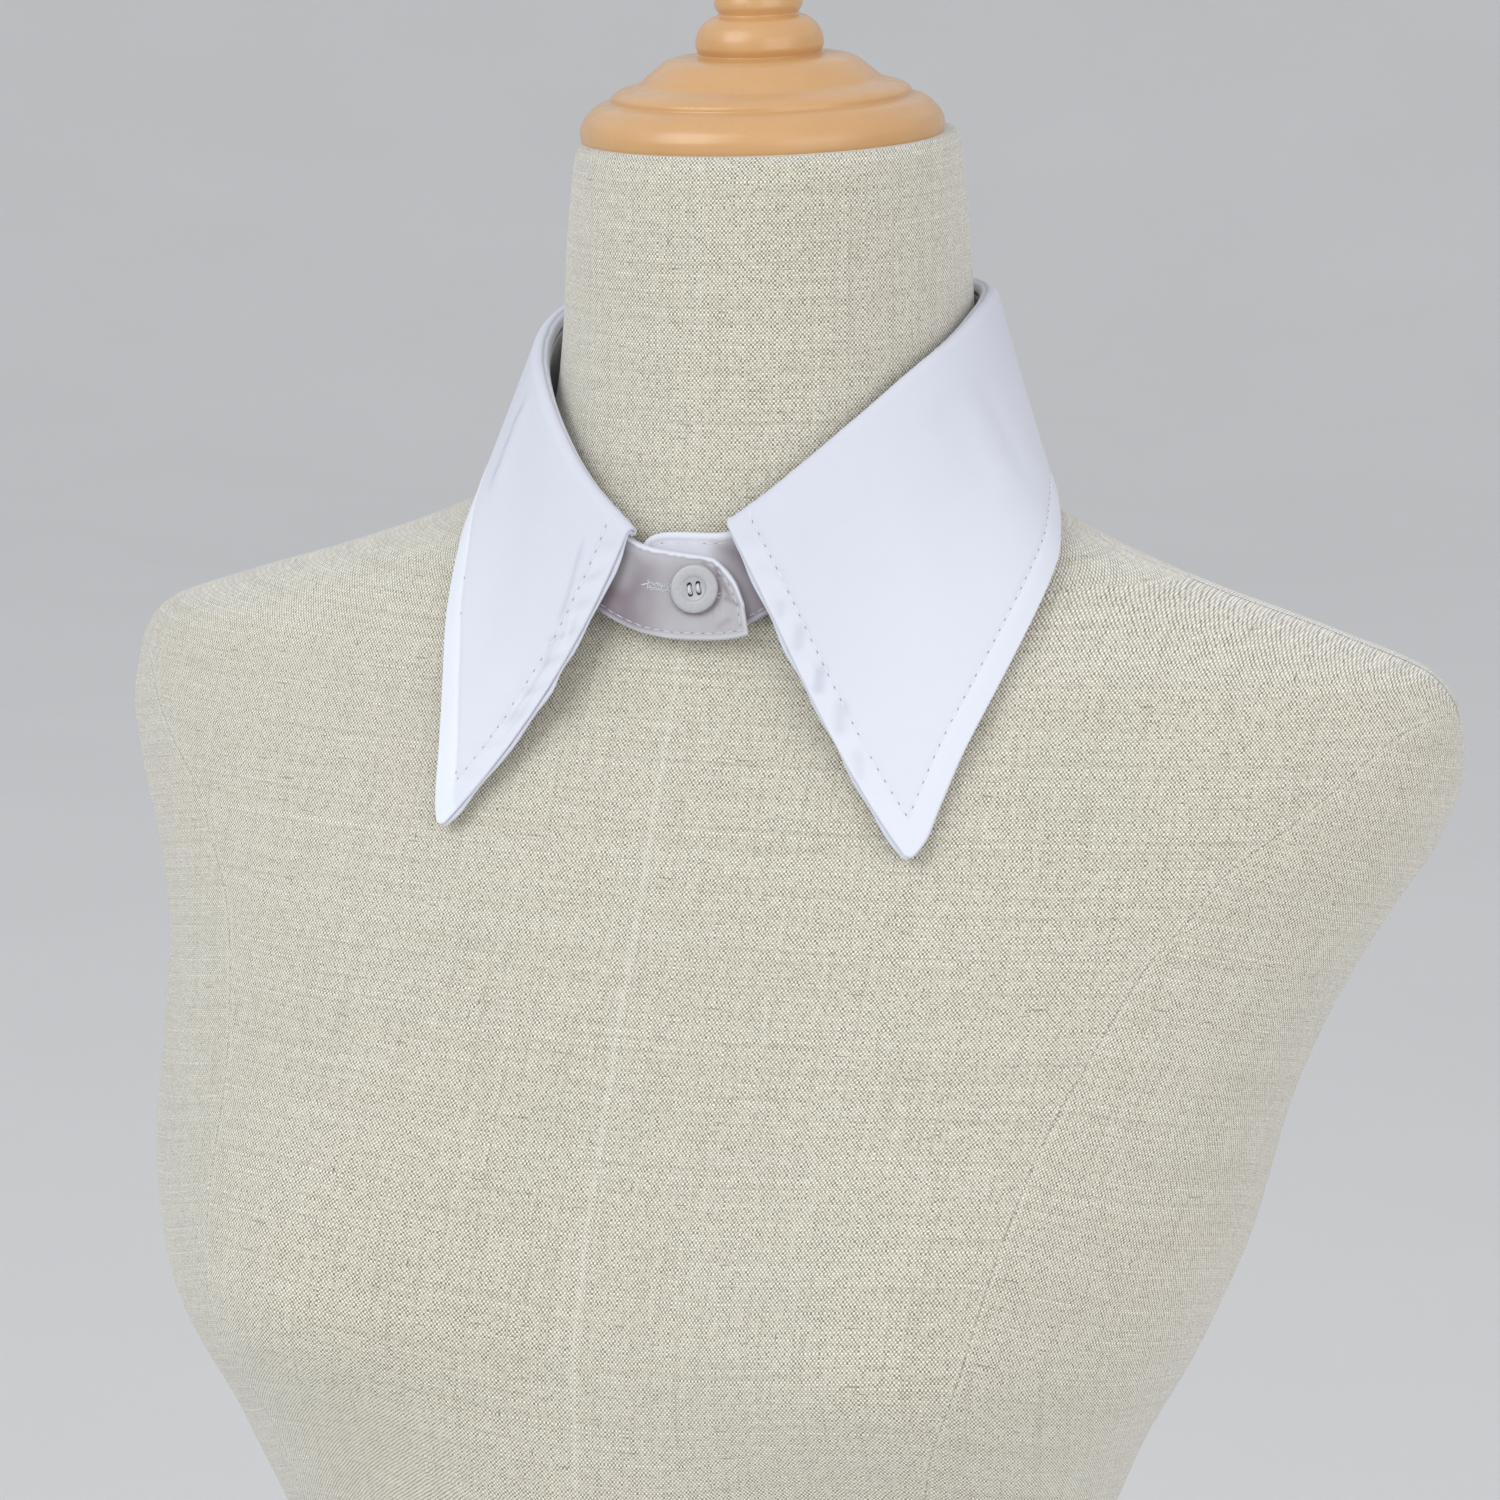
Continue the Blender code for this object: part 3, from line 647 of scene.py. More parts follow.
# %% Varnished wood
turned_wood, shader = finish("turned_wood", 0.34, Coat_Weight=0.6, Coat_Roughness=0.26)
where = put("TexCoord").outputs["Object"]
pores = noise(where, 900.0, 2.0, 0.6, (1.0, 1.0, 0.12))
bands = noise(where, 46.0, 3.0, 0.55, (1.0, 1.0, 0.10))
wood = tint(bands, (0.60, 0.325, 0.125), (0.68, 0.395, 0.170))
wood = tint(fade(pores, 0.60, 0.75, 0.0, 0.25), wood, (0.50, 0.25, 0.09))
connect(shader, wood, noise(where, 70.0, 2.0), 0.0002, fade(noise(where, 240.0, 3.0), 0.3, 0.7, 0.30, 0.42))

# %% The cap on the lathe
CAP = np.array([(47.6, -1.2), (48.1, -0.4), (48.3, 2.0), (47.6, 4.4), (45.9, 6.6), (43.2, 8.7), (40.4, 9.45),
                (39.9, 9.6), (39.75, 10.6), (38.4, 11.9), (35.7, 12.9), (32.5, 13.8), (29.9, 16.0),
                (27.2, 18.2), (25.0, 19.6), (22.2, 20.4), (16.2, 21.2), (17.0, 23.4), (16.8, 25.2),
                (15.6, 28.0), (13.3, 30.2), (10.6, 31.6), (10.9, 32.2), (11.7, 34.0), (11.2, 36.4),
                (9.2, 38.8), (5.6, 40.6), (2.0, 41.2)], float)


def lathe(outline, centre, axis, around, rows):
    """Sweep an outline of radius and height round an axis, with smooth curves between its corners."""
    run = along_path(outline)
    table = np.column_stack([run, outline])
    at = np.linspace(0, run[-1], rows)
    r, h = through(table, 1, at), through(table, 2, at)
    x = unit(np.cross((0.3, 1.0, 0.1), axis))
    y = np.cross(axis, x)
    a = np.linspace(0, 2 * np.pi, around, endpoint=False)
    spokes = np.cos(a)[:, None] * x + np.sin(a)[:, None] * y
    return centre + h[:, None, None] * axis + r[:, None, None] * spokes[None]


cap_axis = unit(np.array([-NECK_TILT[1], -NECK_TILT[0], 1.0]))
cap_grid = lathe(CAP, np.array([-1.6, -0.6, 51.8]), cap_axis, 128, 210)
neck_knob = piece("turned_cap", cap_grid.reshape(-1, 3), closed_rings(cap_grid), turned_wood)
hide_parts("neck_cap")

# %% [markdown]
# ## The poplin
#
# The collar is fine cotton poplin over an interlining: crisp, nearly white with a cool cast, and
# so closely woven that its threads hardly show. Its finish is a very fine weave, a little
# unevenness from pressing, and hardly any gloss.


# %% White poplin, and a copy of it painted darker with the band's shade
def poplin_finish(name, light, dark, deep, highlight_colour):
    """A cotton finish: threads a quarter of a millimetre apart, and slow pressed unevenness.
    Its points may carry painted shade, by the mark shadow, and a painted highlight, by the mark rim."""
    made, shader = finish(name, 0.78, Specular_IOR_Level=0.25, Sheen_Weight=0.08)
    grain = put("UVMap", {"uv_map": "grain"}).outputs[0]
    waves = [calc("SINE", part * (6.2832 / 0.26)) for part in split("SeparateXYZ", grain)[:2]]
    pressed = noise(grain, 0.16, 3.0)
    streaks = noise(grain, 1.0, 2.0, 0.5, (0.35, 2.4, 1.0))
    colour = tint(pressed * 0.6 + streaks * 0.4, dark, light)
    # painted shade where the mark shadow says, then a painted highlight where the mark rim says
    colour = tint(mark("rim"), tint(mark("shadow"), colour, deep), highlight_colour)
    connect(shader, colour, waves[0] * waves[1] * 0.12 + pressed, 0.00006)
    return made


# the last two colours of each poplin are its painted shade and its painted highlight
white_poplin = poplin_finish("white_poplin", (0.684, 0.706, 0.785), (0.660, 0.672, 0.754),
                             (0.46, 0.46, 0.55), (0.84, 0.875, 0.94))
# the band's outer layer is the same white cloth, painted darker and greyer with the shade that falls on it
# under the fall
shaded_band_poplin = poplin_finish("shaded_band_poplin", (0.485, 0.472, 0.492), (0.435, 0.417, 0.443),
                            (0.225, 0.178, 0.208), (0.74, 0.755, 0.825))
# the same white thread, painted darker with the band's shade, for the stitches on the band and through the
# button
shaded_band_thread = mottled("shaded_band_thread", 0.6, (3000.0,), (0.62, 0.62, 0.66), (0.74, 0.74, 0.79), 5000.0, 0.00004)
thread_white = mottled("sewing_thread", 0.6, (3000.0,), (0.80, 0.80, 0.87), (0.90, 0.90, 0.95), 5000.0,
                       0.00004)
# small dark discs of painted shade, where the needle went through the cloth
needle_shade = mottled("needle_hole_shade", 0.9, (1500.0,), (0.22, 0.22, 0.28), (0.42, 0.42, 0.50))

# %% [markdown]
# ## Cloth as a thin wall
#
# Both the band and the fall are two layers of cloth sewn together round their edges. Each layer
# is a grid of points on its outer face and another on its inner face, one millimetre below, and
# the two close in a round edge. One could thicken a single face with a modifier, but a turned
# and pressed edge is rounder than that, and it has to be placed exactly against its neighbour.


# %% Walls, edges and clearances
def outward(grid):
    """Unit normals of a grid whose rows run round the neck and whose columns run downwards."""
    return unit(np.cross(np.gradient(grid, axis=1), np.gradient(grid, axis=0)))


def rim_of(rows, columns):
    """Point numbers round the border of a grid, in the order of its faces' corners."""
    number = np.arange(rows * columns).reshape(rows, columns)
    return np.concatenate([number[0, :-1], number[:-1, -1], number[-1, :0:-1], number[:0:-1, 0]])


def cloth_layer(name, face, normal, top, from_edge, material, grain, replaced, marks=None):
    """A layer of cloth: its outer side lies top below the face, and its thickness closes in a
    half round over the last half millimetre before the edge."""
    rows, columns = face.shape[:2]
    close = np.clip(from_edge / (0.5 * PLY), 0, 1)
    half = 0.5 * PLY * np.maximum(np.sqrt(1 - (1 - close) ** 2), 0.16)
    centre = face - normal * (top + 0.5 * PLY)
    outer, inner = centre + normal * half[..., None], centre - normal * half[..., None]
    quads = np.roll(grid_faces(rows, columns)[:, ::-1], 1, axis=1)
    count = rows * columns
    rim = rim_of(rows, columns)
    follow = np.roll(rim, -1)
    faces = [quads[:, ::-1], quads + count, np.stack([follow, rim, rim + count, follow + count], -1)]
    uv = np.concatenate([grain.reshape(-1, 2)[f.ravel() % count] for f in faces])
    points = np.concatenate([outer.reshape(-1, 3), inner.reshape(-1, 3)])
    made = piece(name, points, faces, material, uv=uv,
                 marks={label: np.tile(values.ravel(), 2) for label, values in (marks or {}).items()})
    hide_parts(replaced)
    return made


def form_level(p):
    """1 on the form's skin, more outside: the point's place as a share of its section."""
    x, y = p[..., 0], p[..., 1]
    z = p[..., 2] - neck_lean(x, y, p[..., 2])
    w, mid, deep, power = section(z, y < through(FORM, 2, z))
    return ((np.abs(x) / w) ** power + (np.abs(y - mid) / deep) ** power) ** (1 / power)


def stand_clear(grid, air, passes=40):
    """Move a grid out until it stands clear of the form. The distance is the level above 1
    divided by how fast the level grows, and the push is spread over its neighbours."""
    out = grid.copy()
    for _ in range(3):
        slope = np.stack([(form_level(out + d) - form_level(out - d)) / 1.0 for d in np.eye(3) * 0.5], -1)
        size = np.linalg.norm(slope, axis=-1)
        short = np.maximum(air - (form_level(out) - 1) / size, 0)
        push = short
        for _ in range(passes):
            wide = np.pad(push, 1, mode="edge")
            soft = (wide[:-2, 1:-1] + wide[2:, 1:-1] + wide[1:-1, :-2] + wide[1:-1, 2:]) / 4
            push = np.maximum(short, soft)
        out += (slope / size[..., None]) * push[..., None]
    return out


def surface_grain(grid):
    """Lengths along and down a grid in millimetres, as its grain."""
    along = along_path(grid[:, 0])
    down = sum_up(np.linalg.norm(np.diff(grid, axis=1), axis=-1), 1)
    return np.stack([np.repeat(along[:, None], grid.shape[1], 1), down], -1)


# %% [markdown]
# ## The band
#
# The band stands round the neck. Its two ends pass over each other at the throat, the end on top
# coming from the wearer's right, with a rounded corner, the buttonhole and the button. Each edge
# of the table is a curve of radius and height against the turn round the neck, and a straight
# line joins the upper to the lower edge at every turn.


# %% The band's face
def lap(turn):
    """How far the band has stepped out, where it passes over its own other end."""
    return LAP_STEP * ease((turn - LAP_START) / (LAP_END - LAP_START))


def band_top(turn):
    """The upper edge of the band, on its inner face."""
    return polar(turn, through(BAND, 1, turn) + lap(turn), through(BAND, 2, turn))


def edge_steps(*spans):
    """Places from 0 to 1 between which a grid has its points: each span gives how far it goes
    and how many steps it has."""
    parts = [np.zeros(1)]
    for reach, count in spans:
        parts.append(np.linspace(parts[-1][-1], reach, count + 1)[1:])
    return np.concatenate(parts)


band_share = edge_steps((0.012, 3), (0.05, 3), (0.16, 7), (0.84, 18), (0.95, 7), (0.988, 3), (1.0, 3))
band_start, band_end = BAND[0, 0], BAND[-1, 0]
band_turns = np.concatenate([
    band_start + edge_steps((0.12, 2), (0.5, 2), (6.0, 14)), np.linspace(-8.1, 348.9, 270),
    band_end - edge_steps((0.12, 2), (0.5, 2), (26.0, 56))[::-1]])


def band_face(turns, share):
    """Inner face of the band and its outward normals, at given turns and shares of its height."""
    top = band_top(turns)
    foot = polar(through(BAND, 3, turns), through(BAND, 4, turns) + lap(turns), through(BAND, 5, turns))
    face = top[:, None] * (1 - share[None, :, None]) + foot[:, None] * share[None, :, None]
    lean = (through(BAND, 4, turns) - through(BAND, 1, turns)) / np.maximum(top[:, 2] - foot[:, 2], 1.0)
    normal = np.repeat(polar(turns, np.ones_like(turns), 0.0 * turns)[:, None], len(share), 1)
    normal[..., 2] = np.minimum(lean, 0.28)[:, None] * share[None, :]
    return face, unit(normal)


band_grid, band_normal = band_face(band_turns, band_share)
band_grid = stand_clear(band_grid, SKIN_GAP)
band_from = [nearest(band_grid, edge)[0]
             for edge in (band_grid[:, 0], band_grid[:, -1], band_grid[0], band_grid[-1])]
below_top, above_low, _, from_end = band_from
band_edge = np.minimum.reduce(band_from)
print("band is", round(float(along_path(band_grid[:, 0])[-1])), "mm long on top")

# %% Soft unevenness of the band, its painted highlight and painted shade, and its two layers
STITCH_IN = 1.7                                    # the band's stitching lies this far inside its edge
BUTTON_TURN = 364.2
button_at = polar(BUTTON_TURN, 62.8 + LAP_STEP, -61.8)
turn_at, share_at = band_turns[:, None] + 0 * band_share, band_share[None, :] + 0 * band_turns[:, None]
from_button = np.linalg.norm(band_grid - button_at, axis=-1)
on_left = turn_at < 180
# small creases near the button: where each starts and ends, as turn and share, its width and depth
tucks = np.zeros_like(turn_at)
for turns, shares, width, depth in [
        ((368.4, 371.6), (0.10, 0.34), 0.55, 0.30), ((365.2, 368.8), (0.08, 0.17), 0.5, 0.22),
        ((370.8, 373.6), (0.42, 0.37), 0.6, 0.26), ((369.0, 371.6), (0.84, 0.72), 0.7, 0.14)]:
    path = band_face(np.linspace(*turns, 12), np.linspace(*shares, 12))[0][np.arange(12), np.arange(12)]
    tucks += depth * bell(nearest(band_grid, path)[0], width)
band_wave = (0.10 * np.sin(turn_at * 0.9 + 4 * share_at) * bell(share_at, 0.25)
             + 0.14 * np.sin(turn_at * 0.31 + 1.7) * share_at
             + 0.10 * np.sin(turn_at * 2.3 + 3 * np.sin(turn_at * 0.4)) * bell(share_at - 0.02, 0.12)
             * ease((turn_at - 350) / 6)
             + 0.10 * bell(from_button - 8.6, 1.6) * np.sin(turn_at * 4.2) * (turn_at > 362) - tucks)
uneven = np.sin(turn_at * 2.1 + 2 * np.sin(turn_at * 0.7))
rim_wide = np.where(on_left, 2.0, 0.95) * (1 + np.where(on_left, 0.05, 0.20) * uneven)
groove = (-0.16 * bell(band_edge - STITCH_IN, 0.5) + 0.05 * bell(band_edge - 1.0, 0.8)
          - 0.30 * bell(below_top - rim_wide - 0.25, 0.35))
# lighter blotches, which the next lines mix into the painted highlight
lighter_blotches = np.sin(turn_at * 0.7 + 6 * share_at) * np.sin(turn_at * 0.33 - 8 * share_at + 1.0)
# rim: painted highlight along the band's upper edge, weaker along its other edges, and over the upper part of
# the underlap
rim = np.maximum.reduce([ease(1.6 - 1.3 * below_top / rim_wide), 0.42 * ease(1.3 - band_edge / 1.1),
                         0.62 * ease((9.5 - turn_at) / 5) * ease((10.0 - below_top) / 7)])
rim = np.clip(rim + 0.06 * np.clip(lighter_blotches, 0, 1), 0, 1)
# painted shade on the band: under the fall's points, in the small creases, and in a ring round the button
under_fall = np.where(on_left, 0.85 * ease((turn_at - 3) / 8), 0.95 * ease((360 - turn_at) / 14))
shadow = np.maximum.reduce([under_fall * ease((below_top - 1.0) / 5), 2.0 * tucks,
                            0.75 * bell(from_button - 6.75, 0.55) * (turn_at > 340)])
outer_face = band_grid + band_normal * (2 * PLY + PLY_GAP + band_wave + groove)[..., None]
inner_face = band_grid + band_normal * (PLY + 0.6 * band_wave)[..., None]
band_grain = surface_grain(band_grid)
band_outside = cloth_layer("band_outside", outer_face, band_normal, 0.0, band_edge, shaded_band_poplin, band_grain,
                           "band_outer", marks=dict(rim=rim, shadow=shadow))
band_inside = cloth_layer("band_inside", inner_face, band_normal, 0.0, band_edge, white_poplin, band_grain,
                          "band_inner")

# %% [markdown]
# ## The fall
#
# The fall is sewn to the band's upper edge, rolls over and comes down outside it. In front it
# reaches two long points, and round the back it just covers the band. At every turn of the
# fold its outline is a round arc over the roll and then a nearly straight line to the edge that
# the table gives, and where that would touch the form, the cloth is pushed out to lie on it.

# %% The fall's face
mm_in = edge_steps((0.3, 3), (1.0, 3), (9.0, 16), (16.0, 9))
fall_turns = np.concatenate([
    FALL_START + mm_in, np.linspace(FALL_START + 17.5, FALL_END - 17.5, 196), (FALL_END - mm_in)[::-1]])
ARC_ROWS = 22
line_share = edge_steps((0.80, 78), (0.96, 20), (0.99, 6), (1.0, 5))[1:]


def fall_face(turns):
    """Outer face of the fall: an arc of the roll's radius, from inside the fold to where the
    line to the edge leaves it, and then that line, bowed towards the centre near each point."""
    top = band_top(turns)
    along = unit(band_top(turns + 0.5) - band_top(turns - 0.5))
    radial = polar(turns, np.ones_like(turns), 0.0 * turns)
    out = unit(radial - (radial * along).sum(1, keepdims=True) * along)
    up = np.cross(along, out)
    up *= np.sign(up[:, 2:3])
    centre = top + out * ROLL + up * ROLL_LIFT
    edge = polar(*[through(FALL, k, turns) for k in (1, 2, 3)])
    o, u = ((edge - centre) * out).sum(1), ((edge - centre) * up).sum(1)
    last = np.minimum(np.arctan2(o, u) + np.arcsin(np.minimum(ROLL / np.hypot(o, u), 1.0)), np.radians(178))
    t = np.linspace(0, 1, ARC_ROWS)[None, :, None] * last[:, None, None]
    arc = centre[:, None] + ROLL * (-np.cos(t) * out[:, None] + np.sin(t) * up[:, None])
    share = (turns - turns[0]) / (turns[-1] - turns[0])
    s = line_share[None, :, None]
    near_start, near_end = [(1 - ease(part / 0.12))[:, None, None] for part in (share, 1 - share)]
    bow = near_end * BOW_RIGHT * 4 * s * (1 - s) - near_start * BOW_LEFT * 6.75 * s ** 2 * (1 - s)
    line = arc[:, -1:] + (edge[:, None] - arc[:, -1:]) * s + along[:, None] * bow
    return np.concatenate([arc, line], 1)


fall_grid = fall_face(fall_turns)
fall_grid[:, ARC_ROWS - 2:] = stand_clear(fall_grid[:, ARC_ROWS - 2:], 2 * PLY + PLY_GAP + SKIN_GAP + 0.3)
print("fall drops", round(float(along_path(fall_grid[0])[-1])), "mm at the point and",
      round(float(along_path(fall_grid[len(fall_turns) // 2])[-1])), "mm at the back")


# %% The round tips of the points
def round_tip(grid, corner, towards_front, towards_hem, radius):
    """Round a corner between two straight edges: inside the wedge between the two edges'
    outward directions, a point is drawn to the corner circle's centre by the cosine that it
    makes with the nearer direction, which turns the corner into an arc."""
    a, b = unit(towards_front), unit(towards_hem)
    n1, n2 = unit((b @ a) * a - b), unit((a @ b) * b - a)
    half = np.arccos(np.clip(a @ b, -1, 1)) / 2
    centre = corner + unit(a + b) * radius / np.sin(half)
    q = grid - centre
    size = np.linalg.norm(q, axis=-1)
    direction = q / np.maximum(size, 1e-9)[..., None]
    best = np.maximum(direction @ n1, direction @ n2)
    wedge = (direction @ -unit(a + b)) > np.cos(np.pi / 2 - half)
    near = size < 2.2 * radius / np.sin(half)
    return np.where((wedge & near)[..., None], centre + q * best[..., None], grid)


TIP_ROUND = 1.9   # millimetres
for end, beside in ((0, 9), (-1, -10)):
    tip = fall_grid[end, -1].copy()
    fall_grid = round_tip(fall_grid, tip, fall_grid[end, -14] - tip, fall_grid[beside, -1] - tip, TIP_ROUND)

# %% Distances to the fall's edges
fall_normal = outward(fall_grid)
front_right, right_run = nearest(fall_grid, fall_grid[0])
front_left, left_run = nearest(fall_grid, fall_grid[-1])
to_hem = nearest(fall_grid, fall_grid[::2, -1])[0]
fall_edge = np.minimum.reduce([front_right, front_left, to_hem])
print("edge distances reach", round(float(fall_edge.max())), "mm")

# %% [markdown]
# ## Creases, puckers and the pressed edge
#
# A sewn edge is thicker than the cloth beside it, the stitching pulls it into small slanting
# puckers, and the cloth keeps soft creases where it was folded or handled. Each one is a soft
# ridge or trough along a short path, with its own length, depth and width, given one by one.


# %% Creases, one by one
def crease(path, width, depth):
    """A trough (negative) or ridge along a path of turns of the fold and shares of its drop,
    fading at both ends."""
    path = np.array(path, float)
    ends = np.linspace(0, len(path) - 1, 24)
    turns, shares = [np.interp(ends, np.arange(len(path)), path[:, k]) for k in (0, 1)]
    i = np.interp(turns, fall_turns, np.arange(len(fall_turns)))
    j = ARC_ROWS - 1 + np.interp(shares, np.concatenate([[0], line_share]), np.arange(len(line_share) + 1))
    line = grid_at(fall_grid, i, j)
    d, s = nearest(fall_grid, line)
    length = along_path(line)[-1]
    return depth * bell(d, width) * ease(s / (0.25 * length)) * ease((length - s) / (0.25 * length))


def puckers(run, from_front, places):
    """Short slanting folds between the stitching and the front edge."""
    return sum(depth * bell(run - at - slant * (from_front - 4.0), width) * bell(from_front - 4.2, 3.0)
               for at, width, depth, slant in places)


# each crease: its path, its width and its depth in millimetres
CREASES = [
    ([(24, 0.10), (22, 0.45), (19, 0.75)], 7.0, -0.35), ([(45, 0.10), (40, 0.50), (34, 0.85)], 9.0, 0.55),
    ([(62, 0.10), (58, 0.60)], 6.0, -0.40), ([(75, 0.15), (72, 0.75)], 4.0, -0.35),
    ([(301.3, 0.04), (303.5, 0.28), (305.9, 0.49), (307, 0.66)], 1.0, -0.45),
    ([(303.5, 0.05), (308, 0.60)], 4.0, 0.55), ([(312, 0.10), (322, 0.55), (330, 0.85)], 9.0, -0.5),
    ([(337.5, 0.09), (338.5, 0.18), (340, 0.27), (341, 0.37)], 0.55, -0.30),
    ([(339.5, 0.09), (340.5, 0.20), (342, 0.30)], 1.5, 0.22),
    ([(341.2, 0.36), (343.0, 0.45), (342.9, 0.56), (343.4, 0.70)], 0.7, -0.34),
    ([(342.6, 0.27), (344.3, 0.34), (343.8, 0.41)], 0.8, 0.38), ([(343.9, 0.27), (344.9, 0.36)], 0.6, -0.28),
    ([(340.6, 0.40), (341.6, 0.55), (342.2, 0.66)], 1.4, 0.25),
    ([(344.4, 0.52), (344.6, 0.60), (344.4, 0.70)], 0.6, -0.22), ([(16.2, 0.325), (12.4, 0.392)], 1.5, -0.36),
    ([(15.8, 0.45), (12.4, 0.52)], 1.5, -0.55), ([(13.9, 0.44), (12.0, 0.49)], 1.1, 0.30),
    ([(16.2, 0.56), (12.4, 0.645)], 1.6, -0.42), ([(14.6, 0.685), (11.8, 0.775)], 1.5, -0.30),
    ([(14.6, 0.24), (12.4, 0.29)], 1.4, -0.20), ([(120, 0.15), (124, 0.8)], 5.0, -0.45),
    ([(150, 0.2), (147, 0.85)], 3.5, -0.35), ([(171, 0.1), (176, 0.7)], 6.0, 0.40),
    ([(204, 0.15), (200, 0.8)], 4.0, -0.40), ([(236, 0.1), (241, 0.75)], 5.5, -0.45),
    ([(264, 0.2), (262, 0.7)], 3.5, 0.35)]
# each pucker: millimetres down the front edge, width, depth, and slant
PUCKERS_RIGHT = [(14, 2.4, -0.08, 0.5), (23, 2.0, -0.12, 0.9), (33, 2.4, -0.12, 0.7), (49, 2.2, -0.14, 0.8),
                 (79, 2.0, -0.14, 0.9), (88, 2.4, -0.10, 0.6)]
PUCKERS_LEFT = [(12, 2.0, -0.16, 0.6), (21, 1.4, -0.36, 0.9), (29, 1.9, -0.32, 0.7), (38, 1.4, -0.46, 1.0),
                (46, 1.7, -0.42, 0.9), (55, 1.5, -0.46, 1.0), (63, 2.0, -0.36, 0.8), (72, 1.5, -0.30, 0.9),
                (82, 2.0, -0.18, 0.6)]
TOPSTITCH = 6.3   # millimetres from the fall's edges to its stitching
small = puckers(right_run, front_right, PUCKERS_RIGHT) + puckers(left_run, front_left, PUCKERS_LEFT)
fall_relief, sharp = small, 0.7 * small
for path, width, depth in CREASES:
    fold = crease(path, width, depth)
    fall_relief = fall_relief + 1.25 * fold
    sharp = sharp + fold * (width < 2)
drop_share = np.concatenate([np.zeros(ARC_ROWS), line_share])[None, :]
seam_line = fall_edge - TOPSTITCH
fall_relief += (-0.22 * bell(seam_line, 0.7) + 0.16 * bell(fall_edge - 3.6, 2.6)) * ease(drop_share / 0.05)
print("creases run from", round(float(fall_relief.min()), 2), "to", round(float(fall_relief.max()), 2), "mm")

# %% The seam along the fold, and the fall's two layers
arc_run = sum_up(np.linalg.norm(np.diff(fall_grid[:, :ARC_ROWS], axis=1), axis=-1).mean(0))
fold_wave = 0.16 * np.sin(fall_turns * 1.3 + 2 * np.sin(fall_turns * 0.35))[:, None]
fold_seam = np.concatenate([arc_run, np.full(len(line_share), 99.0)])[None, :] - 3.1 - fold_wave
fall_relief += -0.30 * bell(fold_seam, 0.42) + 0.10 * bell(fold_seam + 1.0, 0.7)
fall_skin = fall_grid + fall_normal * fall_relief[..., None]
fall_grain = surface_grain(fall_grid)
# painted highlight: the stitched margin, the fall more and more towards its edge, and the margin along the
# hem of the point on the wearer's right
fall_painted_light = (0.16 * ease((TOPSTITCH + 0.5 - fall_edge) / 0.9) * ease((drop_share - 0.02) / 0.1)
              + 0.34 * ease((drop_share - 0.1) / 0.8)
              + 0.34 * ease((TOPSTITCH + 0.5 - to_hem) / 0.9) * ease((fall_turns[:, None] - 280) / 20))
# painted shade: along the stitching, in the seam at the fold, and in the puckers and narrow creases
fall_painted_shade = (0.22 * bell(seam_line, 0.5) * ease(drop_share / 0.05) + 0.40 * bell(fold_seam, 0.35)
             + np.clip(-1.5 * sharp, 0, 0.8))
fall_outside = cloth_layer("fall_outside", fall_skin, fall_normal, 0.0, fall_edge, white_poplin, fall_grain,
                           "upper_collar", marks=dict(rim=fall_painted_light, shadow=fall_painted_shade))

# the under layer peeks out along both front edges, unevenly
peek = 0.45 + 0.25 * np.sin(right_run * 0.33) + 0.35 * np.sin(left_run * 0.36 + 1.0 + np.sin(left_run * 0.13))
peek = peek * ease(drop_share / 0.06)
ways = sum(unit(fall_grid[end] - fall_grid[beside])[None] * (bell(away, 3.0) * peek)[..., None]
           for end, beside, away in ((0, 6, front_right), (-1, -7, front_left)))
fall_inside = cloth_layer("fall_inside", fall_skin + ways, fall_normal, PLY + 0.12, fall_edge, white_poplin,
                          fall_grain, "under_collar")

# %% [markdown]
# ## Stitches
#
# The stitching is white thread, sunk a little into the cloth. A stitch could be one picture of a
# dash, but it catches the light and casts a tiny shadow, so each is a small spindle of a few
# faces, and a dark point of painted shade lies where the needle went through. All of them are
# made as one array.


# %% Rows of stitches
def many(faces, count, points):
    """Repeat the faces of one small body for a row of such bodies."""
    return (faces[None] + np.arange(count)[:, None, None] * points).reshape(-1, faces.shape[1])


